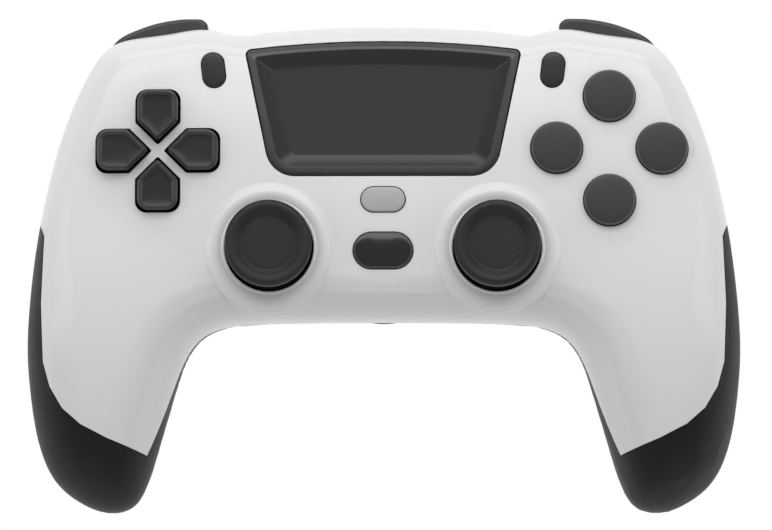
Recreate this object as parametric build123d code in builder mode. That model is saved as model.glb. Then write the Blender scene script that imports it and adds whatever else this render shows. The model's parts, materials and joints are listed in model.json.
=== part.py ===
from build123d import *
import math
import os

# A two-handled gamepad controller, lying on its back with the controls up.
#
# The frame has +X to the right of the controls, +Y towards the triggers and +Z out of the face.
# Everything is in millimetres.

os.makedirs("parts", exist_ok=True)

# Driving dimensions of the housing

half_width = 80.0            # centre to the widest point of a handle
tip_reach = 54.7             # centre to the tip of a handle, and to the top of the bumpers
face_peak = 46.0             # height of the front face at the centre
rear_height = 13.0           # height of the rear face in the middle, above the table
top_drop = 3.6               # how far the front face falls towards the top edge
handle_drop = 16.8           # how far it falls towards the handle tips
side_drop = 4.0              # how far it falls towards the sides
wall = 2.2                   # shell wall
seam_height = 27.0           # parting plane between the two shells
seam_gap = 0.15              # visible line between them
grip_edge_radius = 13.0      # edge rounding on the handles
upper_edge_radius = 7.0      # edge rounding round the upper half
lower_edge_radius = 9.0      # edge rounding along the bottom of the middle
crotch_x = 33.0              # centre of the bend between the middle and a handle
crotch_y = -27.0
overrun = 4.0                # how far a cutter runs past what it cuts

# Outline of the housing, seen from the front: shares of half_width and of tip_reach,
# from the top centre round the right handle to the bottom centre

outline_shares = [
    (0.0, 0.956), (0.225, 0.947), (0.335, 0.934), (0.41, 0.925), (0.45, 0.933), (0.485, 0.949),
    (0.54, 0.947), (0.645, 0.924), (0.755, 0.888), (0.80, 0.825), (0.84, 0.72), (0.891, 0.543),
    (0.941, 0.296), (0.974, 0.055), (0.991, -0.146), (0.999, -0.366), (0.991, -0.53),
    (0.963, -0.75), (0.918, -0.88), (0.844, -0.965), (0.765, -1.0), (0.705, -0.976),
    (0.666, -0.892), (0.629, -0.731), (0.585, -0.521), (0.553, -0.391), (0.508, -0.30),
    (0.444, -0.258), (0.338, -0.243), (0.17, -0.238), (0.0, -0.237),
]

# How the thickness is spread over the outline

grip_start = 22.0            # distance from the centre where the rear begins to bulge
grip_blend = 34.0            # and the width over which it does
grip_centre = 36.0           # the palm bulge is centred this far below the middle
grip_spread = 34.0
shoulder_centre = 38.0       # a second bulge backs the triggers
shoulder_spread = 16.0
shoulder_share = 0.55
edge_blend_x = 28.0          # where the bottom edge rounding begins to grow
edge_blend_width = 30.0
edge_blend_low = -12.0       # the handle rounding gives way to the upper rounding from here
edge_blend_height = 26.0
equator_low = 4.0            # the widest line climbs towards the front face from here
equator_climb = 34.0
equator_mid_share = 0.5
equator_top_share = 0.77
rounding_power = 2.2
palm_share = 1.015           # just over one, so that the palms rest on small flats

# Numbers of stations and points that carry the form

outline_samples = 320
profile_samples = 90
profile_points = 15
handle_station_shares = [0.0055, 0.022, 0.047, 0.083, 0.134, 0.2, 0.285, 0.395, 0.52, 0.665, 0.83]
fan_steps = 18
middle_station_shares = [0.84, 0.6, 0.3]

# Controls on the face

stick_x = 25.25
stick_y = 2.15
stick_opening_radius = 9.9
pad_x = -50.0                # direction pad centre
pad_y = 23.9
key_width = 9.2
key_reach = 13.45            # pad centre to the outer end of a key
key_tip = 1.9                # pad centre to the inner point of a key
key_corner = 2.2
key_gap = 0.45
button_x = 50.2              # centre of the four face buttons
button_y = 24.4
button_offset = 11.7
button_radius = 5.7
button_gap = 0.25
button_rise = 2.1            # button tops above the face
pill_gap = 0.25
menu_x = 37.7
menu_y = 42.0
menu_width = 4.9
menu_length = 7.8
menu_lean = 7.0              # degrees
home_y = 1.4
home_width = 13.1
home_length = 8.0
mode_y = 12.8
mode_width = 9.7
mode_length = 5.5

# Touchpad outline

touch_top_half = 30.6
touch_bottom_half = 24.7
touch_low_y = 18.25
touch_high_y = 46.5
touch_crown = 1.9
touch_corner = 6.3
touch_top_corner = 1.2
touch_gap = 0.25
touch_rim = 2.2              # flat rim round the bevel
touch_bevel = 2.6            # width of the bevel
touch_sink = 1.7             # depth of the panel below the rim

# Levels inside

board_top = 27.2
board_thickness = 1.2
deck_low = 35.6              # mid frame deck
deck_top = 37.0
pivot_height = 33.0          # stick pivot
running_clearance = 0.05
seat_gap = 0.15              # between fixed neighbours
moving_gap = 0.3             # between a moving piece and its neighbours

# The black grips: outline of the part of the rear shell that comes up over the side

grip_shares = [
    (1.06, 0.18), (0.96, 0.155), (0.945, 0.1), (0.954, -0.172), (0.949, -0.408), (0.93, -0.51),
    (0.895, -0.598), (0.844, -0.664), (0.77, -0.72), (0.7, -0.76), (0.648, -0.79),
    (0.56, -0.84), (0.56, -1.1), (1.12, -1.1),
]

# Board, deck and fixings; each span is (from, to)

board_half = 59.0
board_low_y = -9.5
board_high_y = 35.3
board_tab_half = 32.0        # the board runs on to the charging port over this half width
board_tab_y = 47.0
deck_half = 61.0
deck_low_y = 10.5
deck_high_y = 41.0
deck_tongue_half = 12.8      # the deck runs down between the sticks
deck_tongue_y = -8.0
deck_top_half = 32.0
deck_top_y = 46.0
deck_stick_radius = 13.0
leg_radius = 1.5
leg_places = [(11, -3), (12.5, 17.5), (29, 42), (40, 16), (56, 16), (56, 33)]
post_places = [(33.4, 31.6), (64, -34.6)]
post_radius = 2.8
post_split = 30.0            # height where front and rear posts meet
post_clearance = 0.3
screw_radius = 1.0
screw_head_radius = 2.4
screw_head_height = 1.4
screw_slot = 0.5
screw_recess_radius = 2.7
screw_seat = 21.0            # height of the seats of the screw heads, deep in the rear posts
screw_bite = 5.0             # how far a screw reaches into a front post
post_recess_wall = 1.4       # post wall round a recess
board_post_places = [(13.8, -7.3), (52, 6), (27, 38)]
board_post_radius = 2.2
board_screw_head = 1.9
board_screw_height = 1.2
board_screw_length = 4.0

# Sticks

stick_box = 14.4             # outside of the square housing
stick_box_wall = 0.8
stick_box_top = 36.0
trunnion_radius = 1.2
trunnion_reach = 8.6
rocker_half = 3.2            # lower rocker
rocker_length = 5.2
rocker_height = 1.6
rocker_window_half = 1.9
rocker_window_length = 4.0
pin_radius = 0.7
lever_radius = 1.6
lever_low = 30.5
lever_high = 50.0
lever_travel = 0.6
arch_inner = 4.4             # upper rocker
arch_outer = 5.4
arch_half = 2.6
arch_slot = 1.75
arch_slot_angle = 42.0       # degrees each way
cap_low = 43.5
cap_neck = 52.0
cap_top = 56.2
cap_radius = 9.6
cap_stem_radius = 3.5
cap_groove_radius = 7.4      # the round dip inside the rim
cap_groove = 1.2             # depth of the dip and of the grip disc
cap_ridge_radius = 6.1
cap_disc_radius = 5.6
cap_disc_sink = 0.75
cap_round = 1.4
skirt_outer = 12.4
skirt_inner = 11.4
skirt_angle = 58.0           # degrees from the axis
sensor_half = 4.6
sensor_reach = 9.9
sensor_top = 35.2
click_half = 2.0
click_top = 29.7

# Collars round the sticks: radius and height of each point

collar_base = 44             # where the ring round a stick opening ends inside the shell
collar_lip = [(9.9, 46.15), (10.2, 46.48), (10.6, 46.3)]    # radius and height
collar_crown = [(10.6, 46.3), (12.3, 46.75), (14.6, 45.2)]

# Pieces under the controls

button_low = 39.0
button_pocket_radius = 3.1
button_pocket_top = 40.8
button_edge = 0.55           # rounding of the top edge
button_dome = 0.35           # height of the slight dome
button_dome_radius = (button_radius ** 2 + button_dome ** 2) / (2 * button_dome)
button_tab_half = 1.2
button_tab_reach = 7.4
button_tab_inset = 1.3
button_tab_height = 0.5
sleeve_radius = 7.2
sleeve_low = 40.7
rubber_thickness = 0.8
dome_radius = 2.6
dome_top = 39.7
button_rubber_radius = 15.6
pad_disc_radius = 12.6
pad_disc_low = 38.8
pad_disc_high = 40.0
pad_rise = 3.4               # key tops above the face
pad_rim = 0.5
pad_dish = 0.7               # depth of the hollow in a key
pad_dish_radius = 21.0
pad_dome_reach = 9.5
pad_dome_radius = 2.4
pad_dome_top = 38.1
pivot_ball_radius = 1.5
pivot_ball_height = 38.3
pivot_hole_radius = 2.2
pill_low = 38.6
pill_flange = 0.7
pill_flange_height = 1.0
pill_rise = 0.9
pill_edge = 0.35
pill_switch_half = 1.3
pill_switch_top = 38.0

# Under the touchpad

touch_depth = 3.4            # rim surface to underside
touch_plane_low = (18.25, 45.6)
touch_plane_high = (48.2, 43.2)
touch_board_half = 20.0
touch_board_y = (20.7, 43.7)
touch_board_thickness = 0.9
touch_switch_half = 1.6
touch_switch_y = 21.5
touch_switch_top = 40.2

# Bumpers and triggers; positions across are for the right side

bumper_shares = [
    (0.7575, 0.888), (0.739, 0.918), (0.691, 0.955), (0.645, 0.979), (0.599, 0.994),
    (0.5525, 1.003), (0.51, 1.001), (0.495, 0.9865), (0.49, 0.966),
]
bumper_x = (39.2, 60.6)
bumper_inner_y = 43.0
bumper_z = (24.9, 35.6)
bumper_round = 0.9
bumper_round_y = 44.0        # edges beyond this are rounded
bumper_reach = tip_reach - handle_station_shares[0] * (tip_reach + crotch_y)
bumper_arm_x = (33.4, 40.2)
bumper_arm_y = (43.2, 46.8)
bumper_arm_z = (26.2, 30.2)
bumper_post = (35.5, 45.0)
bumper_post_radius = 1.25
bumper_notch_gap = 0.35
bumper_notch_z = (24.2, 36.0)
bumper_switch_x = (52.0, 58.0)
bumper_switch_y = (37.55, 40.6)
bumper_switch_z = (26.5, 31.5)
bumper_plunger_y = 41.8
bumper_plunger_radius = 1.0
trigger_x = 50.0
trigger_half = 9.7
trigger_setback = 0.9        # the triggers stay this far behind the outline of the bumpers
trigger_pivot = (44.0, 18.0)
trigger_hub = 4.7
trigger_outline = [
    (53.4, 22.7), (54.3, 21.2), (54.4, 18), (52.8, 10.5), (53.1, 6), (53.6, 3.2), (53.0, 2.6),
    (51.0, 2.6), (50.4, 3.3), (49, 7), (46, 10), (41.5, 13),
]
trigger_hollow_half = 7.9
trigger_hollow = [
    (38, 21.1), (51.6, 21.1), (52.4, 17), (50.8, 10.5), (51, 7), (49.4, 8.6), (45.8, 11.9), (42.5, 14.2),
    (38, 14.2),
]
trigger_pin_radius = 1.0
trigger_pin_half = 9.2
trigger_lug_x = (5.0, 7.0)   # from the middle of the trigger
trigger_lug_radius = 2.2
trigger_spring_inner = 1.3
trigger_spring_outer = 2.1
trigger_spring_half = 3.4
trigger_spring_wire = 0.4
trigger_pocket_gap = 0.4
trigger_pocket_y = 37.8
trigger_pocket_top = 24.2
frame_wall_x = (34.0, 60.6)
frame_wall_y = (35.8, 37.4)
frame_wall_z = (7.0, 33.0)
frame_shelf_y = 42.0
frame_shelf_z = (23.3, 24.2)
frame_plate_x = (34.0, 38.8)
frame_plate_y = 47.6
frame_plate_top = 25.3
frame_post_top = 31.5

# Inside the handles and the middle

motor_x = (62.0, 73.0)
motor_y = -20.0
motor_z = 20.0
motor_radius = 6.0
motor_shaft_radius = 0.8
weight_x = (52.0, 60.5)
weight_radius_left = 9.5
weight_radius_right = 7.5
weight_hub = 2.2
cradle_x = (64.0, 67.0)
cradle_reach = 8.0
battery_half = 21.0
battery_y = (3.0, 35.5)
battery_z = (15.6, 24.0)
battery_round = 1.0
jack_half = 3.5
jack_y = (-12.5, 1.5)
jack_body_y = -8.5
jack_z = (20.0, 25.85)
jack_height = 22.9
jack_bore = 1.75
jack_depth = 12.0
jack_ring = 2.6
port_half = 4.5
port_y = (43.6, 51.8)
port_z = (27.35, 30.65)
port_wall = 0.5
port_round = 1.5
port_depth = 5.0
port_tongue_half = 3.2
port_tongue = 0.35

# The outline and the surfaces of the housing


def mirror_x(points):
    return [(-x, *rest) for x, *rest in points]


right_points = [(x * half_width, y * tip_reach) for x, y in outline_shares]
outline_points = [Vector(*point) for point in right_points + mirror_x(right_points[-2:0:-1])]
outline_edge = Edge.make_spline(outline_points, periodic=True)
outline = [outline_edge.position_at(i / outline_samples) for i in range(outline_samples)]
outline = [(point.X, point.Y) for point in outline]
outline_pairs = list(zip(outline, outline[1:] + outline[:1]))


def smooth(share):
    share = max(0, min(1, share))
    return share * share * (3 - 2 * share)


def bell(offset, spread):
    return math.exp(-((offset / spread) ** 2))


def edge_distance(x, y):
    """Distance from a point to the outline."""
    nearest = None
    for (ax, ay), (bx, by) in outline_pairs:
        dx, dy = bx - ax, by - ay
        along = ((x - ax) * dx + (y - ay) * dy) / (dx * dx + dy * dy)
        along = max(0, min(1, along))
        square = (x - ax - dx * along) ** 2 + (y - ay - dy * along) ** 2
        if nearest is None or square < nearest:
            nearest = square
    return math.sqrt(nearest)


def front_height(x, y):
    drop = top_drop if y > 0 else handle_drop
    return face_peak - drop * (y / tip_reach) ** 2 - side_drop * (abs(x) / half_width) ** 3


def back_height(x, y):
    sideways = smooth((abs(x) - grip_start) / grip_blend)
    palm = bell(y + grip_centre, grip_spread)
    shoulder = shoulder_share * bell(y - shoulder_centre, shoulder_spread)
    return rear_height * (1 - palm_share * sideways * min(1, palm + shoulder))


def equator_height(x, y):
    climb = smooth((y - equator_low) / equator_climb)
    share = equator_mid_share + (equator_top_share - equator_mid_share) * climb
    low = back_height(x, y)
    return low + (front_height(x, y) - low) * share


def edge_radius(x, y):
    upper = smooth((y - edge_blend_low) / edge_blend_height)
    side = grip_edge_radius + (upper_edge_radius - grip_edge_radius) * upper
    middle = lower_edge_radius + (upper_edge_radius - lower_edge_radius) * upper
    return middle + (side - middle) * smooth((abs(x) - edge_blend_x) / edge_blend_width)


def rounding(share):
    share = max(0, min(1, share))
    return (1 - (1 - share) ** rounding_power) ** (1 / rounding_power)


def crossings(start, direction):
    """Where a ray from start first and last crosses the outline."""
    found = []
    for (ax, ay), (bx, by) in outline_pairs:
        side_a = (ax - start[0]) * direction[1] - (ay - start[1]) * direction[0]
        side_b = (bx - start[0]) * direction[1] - (by - start[1]) * direction[0]
        if side_a * side_b <= 0 and side_a != side_b:
            share = side_a / (side_a - side_b)
            x = ax + (bx - ax) * share - start[0]
            y = ay + (by - ay) * share - start[1]
            if x * direction[0] + y * direction[1] > 0:
                found.append(x * direction[0] + y * direction[1])
    return min(found), max(found)


def evenly(points, count):
    """Points at equal lengths along a fine polyline."""
    lengths = [0]
    for a, b in zip(points, points[1:]):
        lengths.append(lengths[-1] + math.dist(a, b))
    picked = []
    k = 0
    for i in range(count):
        goal = lengths[-1] * i / count
        while lengths[k + 1] < goal:
            k += 1
        share = (goal - lengths[k]) / (lengths[k + 1] - lengths[k])
        picked.append(tuple(a + (b - a) * share for a, b in zip(points[k], points[k + 1])))
    return picked + [points[-1]]


def section(start, degrees, inset):
    """Front and rear profile of the form on a vertical plane, shrunk by the inset."""
    direction = (math.cos(math.radians(degrees)), math.sin(math.radians(degrees)))

    def at(distance):
        return start[0] + direction[0] * distance, start[1] + direction[1] * distance

    low, high = crossings(start, direction)
    if inset > 0:
        a, b = low, high
        for _ in range(24):
            third = (b - a) / 3
            if edge_distance(*at(a + third)) < edge_distance(*at(b - third)):
                a += third
            else:
                b -= third
            if edge_distance(*at((a + b) / 2)) > 2 * inset:
                break
        middle = (a + b) / 2
        for _ in range(16):
            if edge_distance(*at((low + middle) / 2)) < inset:
                low = (low + middle) / 2
            else:
                break
        low = inset_crossing(at, low, middle, inset)
        high = inset_crossing(at, high, middle, inset)
    front, back = [], []
    for i in range(profile_samples + 1):
        distance = (low + high) / 2 + (high - low) / 2 * math.cos(math.pi * i / profile_samples)
        x, y = at(distance)
        share = 0
        if 0 < i < profile_samples:
            share = rounding((edge_distance(x, y) - inset) / (edge_radius(x, y) - inset))
        middle = equator_height(x, y)
        front.append((x, y, middle + (front_height(x, y) - inset - middle) * share))
        back.append((x, y, middle - (middle - back_height(x, y) - inset) * share))
    return evenly(front, profile_points), evenly(back[::-1], profile_points)


def inset_crossing(at, outside, inside, inset):
    for _ in range(18):
        middle = (outside + inside) / 2
        if edge_distance(*at(middle)) < inset:
            outside = middle
        else:
            inside = middle
    return inside


def profile_wire(front, back):
    steps = [i / profile_points for i in range(profile_points + 1)]
    edges = [Edge.make_spline([Vector(*p) for p in side], parameters=steps) for side in (front, back)]
    return Wire(edges)


def housing_form(inset):
    """The solid form of the housing, shrunk on all sides by the inset."""
    tip = inset - tip_reach
    sections = []
    for share in handle_station_shares:
        sections.append(section((crotch_x, tip + (crotch_y - tip) * share), 0, inset))
    for i in range(fan_steps + 1):
        sections.append(section((crotch_x, crotch_y), 90 * i / fan_steps, inset))
    for share in middle_station_shares:
        sections.append(section((crotch_x * share, crotch_y), 90, inset))
    left = [(mirror_x(front), mirror_x(back)) for front, back in sections]
    centre = section((0, crotch_y), 90, inset)
    wires = [profile_wire(*pair) for pair in sections + [centre] + left[::-1]]
    return Solid.make_loft(wires)


outer_form = housing_form(0)
cavity_form = housing_form(wall)
content_form = housing_form(wall + seat_gap)

# Small helpers that add to the part being built

standing = (Align.CENTER, Align.CENTER, Align.MIN)


def sided(side, span):
    """A span across, put on the left (-1) or right (1) side."""
    return tuple(sorted((side * span[0], side * span[1])))


def post(x, y, radius, low, high, mode=Mode.ADD):
    with Locations((x, y, low)):
        Cylinder(radius, high - low, align=standing, mode=mode)


def block(x_span, y_span, z_span, mode=Mode.ADD):
    spans = (x_span, y_span, z_span)
    with Locations(tuple((low + high) / 2 for low, high in spans)):
        Box(*(high - low for low, high in spans), mode=mode)


def rod(x_span, y, z, radius, mode=Mode.ADD):
    """A round bar along X."""
    with Locations(Plane.YZ.offset(x_span[0]) * Location((y, z))):
        Cylinder(radius, x_span[1] - x_span[0], align=standing, mode=mode)


def rod_y(x, y_span, z, radius, mode=Mode.ADD):
    """A round bar along Y."""
    with Locations(Plane.XZ.offset(-y_span[1]) * Location((x, z))):
        Cylinder(radius, y_span[1] - y_span[0], align=standing, mode=mode)


def finish(piece, label):
    piece.part.label = label
    export_step(piece.part, f"parts/{label}.step")


sides = {"left": -1, "right": 1}
far = half_width + overrun
tall = face_peak + overrun


def grip_prism(grow):
    """The upright outline of both black grips."""
    with BuildPart() as prism:
        for side in sides.values():
            with BuildSketch(Plane.XY.offset(-overrun)):
                with BuildLine():
                    Polyline([(side * x * half_width, y * tip_reach) for x, y in grip_shares], close=True)
                make_face()
                offset(amount=grow)
            extrude(amount=tall + overrun)
    return prism.part


# Outlines of the controls, as sketches that are built again where a hole needs them


def key_outline(grow):
    """The four keys of the direction pad."""
    half = key_width / 2
    with BuildSketch() as key:
        with BuildLine():
            Polyline((key_tip, 0), (key_tip + half, half), (key_reach, half),
                     (key_reach, -half), (key_tip + half, -half), close=True)
        make_face()
        corners = key.vertices().sort_by(Axis.X)
        fillet(corners[-2:], key_corner)
        fillet(corners[:-2], key_corner / 3)
        if grow:
            offset(amount=grow)
    with BuildSketch() as outline_sketch:
        with Locations((pad_x, pad_y)):
            with PolarLocations(0, 4):
                add(key.sketch)
    return outline_sketch.sketch


def pill_outline(x, y, width, length, lean, grow):
    with BuildSketch() as outline_sketch:
        with Locations(Location((x, y, 0), (0, 0, lean))):
            if width < length:
                SlotOverall(length + 2 * grow, width + 2 * grow, rotation=90)
            else:
                SlotOverall(width + 2 * grow, length + 2 * grow)
    return outline_sketch.sketch


pills = {
    "left_menu_button": (-menu_x, menu_y, menu_width, menu_length, menu_lean),
    "right_menu_button": (menu_x, menu_y, menu_width, menu_length, -menu_lean),
    "home_button": (0, home_y, home_width, home_length, 0),
    "mode_button": (0, mode_y, mode_width, mode_length, 0),
}
buttons = {
    "face_button_right": (button_x + button_offset, button_y, 90),
    "face_button_top": (button_x, button_y + button_offset, 0),
    "face_button_left": (button_x - button_offset, button_y, 90),
    "face_button_bottom": (button_x, button_y - button_offset, 0),
}


def touch_outline(grow, plane):
    """The touchpad outline grown or shrunk, on the given plane."""
    with BuildSketch(plane) as outline_sketch:
        top = (touch_top_half, touch_high_y)
        low = (touch_bottom_half, touch_low_y)
        with BuildLine():
            ThreePointArc((-top[0], top[1]), (0, top[1] + touch_crown), top)
            Polyline(top, low, (-low[0], low[1]), (-top[0], top[1]))
        make_face()
        lower = outline_sketch.vertices().filter_by(lambda v: v.Y < touch_low_y + touch_corner)
        fillet(lower, touch_corner)
        upper = outline_sketch.vertices().filter_by(lambda v: v.Y > touch_high_y - touch_corner)
        fillet(upper, touch_top_corner)
        if grow:
            offset(amount=grow, kind=Kind.INTERSECTION)
    return outline_sketch.sketch


# The two shells

posts = [(side * x, y) for side in (-1, 1) for x, y in post_places]
board_posts = [(side * x, y) for side in (-1, 1) for x, y in board_post_places]


def collar(x, y):
    """The raised lip round a stick opening."""
    with BuildSketch(Plane.XZ.offset(-y)) as profile:
        with BuildLine():
            lip = ThreePointArc([(x + radius, height) for radius, height in collar_lip])
            crown = ThreePointArc([(x + radius, height) for radius, height in collar_crown])
            outside = (crown @ 1).X
            inside = (lip @ 0).X
            Polyline(crown @ 1, (outside, collar_base), (inside, collar_base), lip @ 0)
        make_face()
    revolve(profile.sketch, Axis((x, y, 0), (0, 0, 1)))


def shoulder_openings():
    """Cuts for the bumpers and triggers and for the charging port, in both shells."""
    for side in sides.values():
        x = (bumper_x[0] - bumper_notch_gap, bumper_x[1] + overrun)
        block(sided(side, x), (bumper_inner_y - moving_gap, far), bumper_notch_z, Mode.SUBTRACT)
        half = trigger_half + trigger_pocket_gap
        x = (trigger_x - half, trigger_x + half)
        pocket = (-overrun, trigger_pocket_top)
        block(sided(side, x), (trigger_pocket_y, far), pocket, Mode.SUBTRACT)


def touch_plane():
    """The plane of the touchpad's rim, which leans towards the triggers."""
    low_y, low_z = touch_plane_low
    high_y, high_z = touch_plane_high
    lean = math.degrees(math.atan2(high_z - low_z, high_y - low_y))
    return Plane(Location((0, low_y, low_z), (lean, 0, 0)))


def touch_height(y):
    low_y, low_z = touch_plane_low
    high_y, high_z = touch_plane_high
    return low_z + (high_z - low_z) * (y - low_y) / (high_y - low_y)


def make_front_shell():
    with BuildPart() as front_shell:
        add(outer_form)
        add(cavity_form, mode=Mode.SUBTRACT)
        for side in sides.values():
            collar(side * stick_x, stick_y)
        for x, y, _ in buttons.values():
            post(x, y, sleeve_radius, sleeve_low, front_height(x, y) - wall / 2)
        for x, y in posts:
            post(x, y, post_radius, post_split + seat_gap, front_height(x, y) - wall / 2)
        block((-far, far), (-far, far), (-overrun, seam_height), Mode.SUBTRACT)
        add(grip_prism(seam_gap), mode=Mode.SUBTRACT)
        shoulder_openings()
        for side in sides.values():
            post(side * stick_x, stick_y, stick_opening_radius, seam_height, tall, Mode.SUBTRACT)
        for x, y, _ in buttons.values():
            post(x, y, button_radius + button_gap, seam_height, tall, Mode.SUBTRACT)
        for x, y in posts:
            post(x, y, screw_radius, seam_height, post_split + screw_bite + seat_gap, Mode.SUBTRACT)
        extrude(key_outline(key_gap), amount=tall, mode=Mode.SUBTRACT)
        for pill in pills.values():
            extrude(pill_outline(*pill, pill_gap), amount=tall, mode=Mode.SUBTRACT)
        extrude(touch_outline(touch_gap, Plane.XY), amount=tall, mode=Mode.SUBTRACT)
        port_opening()
    finish(front_shell, "front_shell")


def port_opening():
    x = port_half + seat_gap
    low, high = port_z
    with BuildSketch(Plane.XZ.offset(-port_y[0])) as mouth:
        with Locations((0, (low + high) / 2)):
            RectangleRounded(2 * x, high - low + 2 * seat_gap, port_round)
    extrude(mouth.sketch, amount=-far, mode=Mode.SUBTRACT)


def make_rear_shell():
    with BuildPart() as rear_shell:
        add(outer_form)
        add(cavity_form, mode=Mode.SUBTRACT)
        for x, y in posts:
            low = back_height(x, y) + wall / 2
            post(x, y, post_radius, low, post_split)
            post(x, y, screw_recess_radius + post_recess_wall, low, screw_seat + wall)
        for x, y in board_posts:
            low = back_height(x, y) + wall / 2
            post(x, y, board_post_radius, low, board_top - board_thickness - seat_gap)
        for side in sides.values():
            cradle(side)
        with BuildPart(mode=Mode.PRIVATE) as lid:
            block((-far, far), (-far, far), (seam_height - seam_gap, tall))
            add(grip_prism(0), mode=Mode.SUBTRACT)
        add(lid.part, mode=Mode.SUBTRACT)
        shoulder_openings()
        for x, y in posts:
            post(x, y, screw_recess_radius, -overrun, screw_seat, Mode.SUBTRACT)
            post(x, y, screw_radius + running_clearance, screw_seat, post_split + overrun, Mode.SUBTRACT)
        for x, y in board_posts:
            top = board_top + overrun
            post(x, y, screw_radius, board_top - board_screw_length, top, Mode.SUBTRACT)
        rod_y(0, (-tip_reach, jack_body_y), jack_height, jack_ring + seat_gap, Mode.SUBTRACT)
        port_opening()
        block((-far, far), (-far, far), (-overrun, 0), Mode.SUBTRACT)
    finish(rear_shell, "rear_shell")


def cradle(side):
    """A saddle for a rumble motor."""
    low = back_height(side * cradle_x[0], motor_y) + wall / 2
    with BuildPart(mode=Mode.PRIVATE) as saddle:
        block(sided(side, cradle_x), (motor_y - cradle_reach, motor_y + cradle_reach), (low, motor_z))
        rod(sided(side, motor_x), motor_y, motor_z, motor_radius + seat_gap, Mode.SUBTRACT)
        add(outer_form, mode=Mode.INTERSECT)
    add(saddle.part)


# The mid frame and the main board


def stick_circles(radius, low, high):
    for side in sides.values():
        post(side * stick_x, stick_y, radius, low, high, Mode.SUBTRACT)


def make_mid_frame():
    with BuildPart() as mid_frame:
        level = (deck_low, deck_top)
        block((-deck_half, deck_half), (deck_low_y, deck_high_y), level)
        block((-deck_tongue_half, deck_tongue_half), (deck_tongue_y, deck_high_y), level)
        block((-deck_top_half, deck_top_half), (deck_low_y, deck_top_y), level)
        stick_circles(deck_stick_radius, deck_low, deck_top)
        for x, y in posts:
            post(x, y, post_radius + post_clearance, deck_low, deck_top, Mode.SUBTRACT)
        for x, y in leg_places:
            for side in sides.values():
                post(side * x, y, leg_radius, board_top + seat_gap, deck_low)
        add(content_form, mode=Mode.INTERSECT)
        with Locations((pad_x, pad_y, pivot_ball_height)):
            Sphere(pivot_ball_radius + running_clearance, mode=Mode.SUBTRACT)
    finish(mid_frame, "mid_frame")


def make_main_board():
    level = (board_top - board_thickness, board_top)
    with BuildPart() as main_board:
        block((-board_half, board_half), (board_low_y, board_high_y), level)
        block((-board_tab_half, board_tab_half), (board_low_y, board_tab_y), level)
        for x, y in posts:
            post(x, y, post_radius + post_clearance, *level, Mode.SUBTRACT)
        for x, y in board_posts:
            post(x, y, screw_radius + running_clearance, *level, Mode.SUBTRACT)
        add(content_form, mode=Mode.INTERSECT)
    finish(main_board, "main_board")


def make_screws():
    with BuildPart() as housing_screws:
        low = screw_seat - screw_head_height - seat_gap
        for x, y in posts:
            post(x, y, screw_head_radius, low, screw_seat - seat_gap)
            post(x, y, screw_radius - running_clearance, screw_seat - seat_gap, post_split + screw_bite)
            with Locations((x, y, low)):
                with PolarLocations(0, 2):
                    Box(screw_head_radius, screw_slot, screw_slot, align=standing, mode=Mode.SUBTRACT)
    finish(housing_screws, "housing_screws")
    with BuildPart() as board_screws:
        for x, y in board_posts:
            low = board_top + seat_gap
            post(x, y, board_screw_head, low, low + board_screw_height)
            post(x, y, screw_radius - running_clearance, board_top - board_screw_length + seat_gap, low)
    finish(board_screws, "board_screws")


# The sticks


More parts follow.
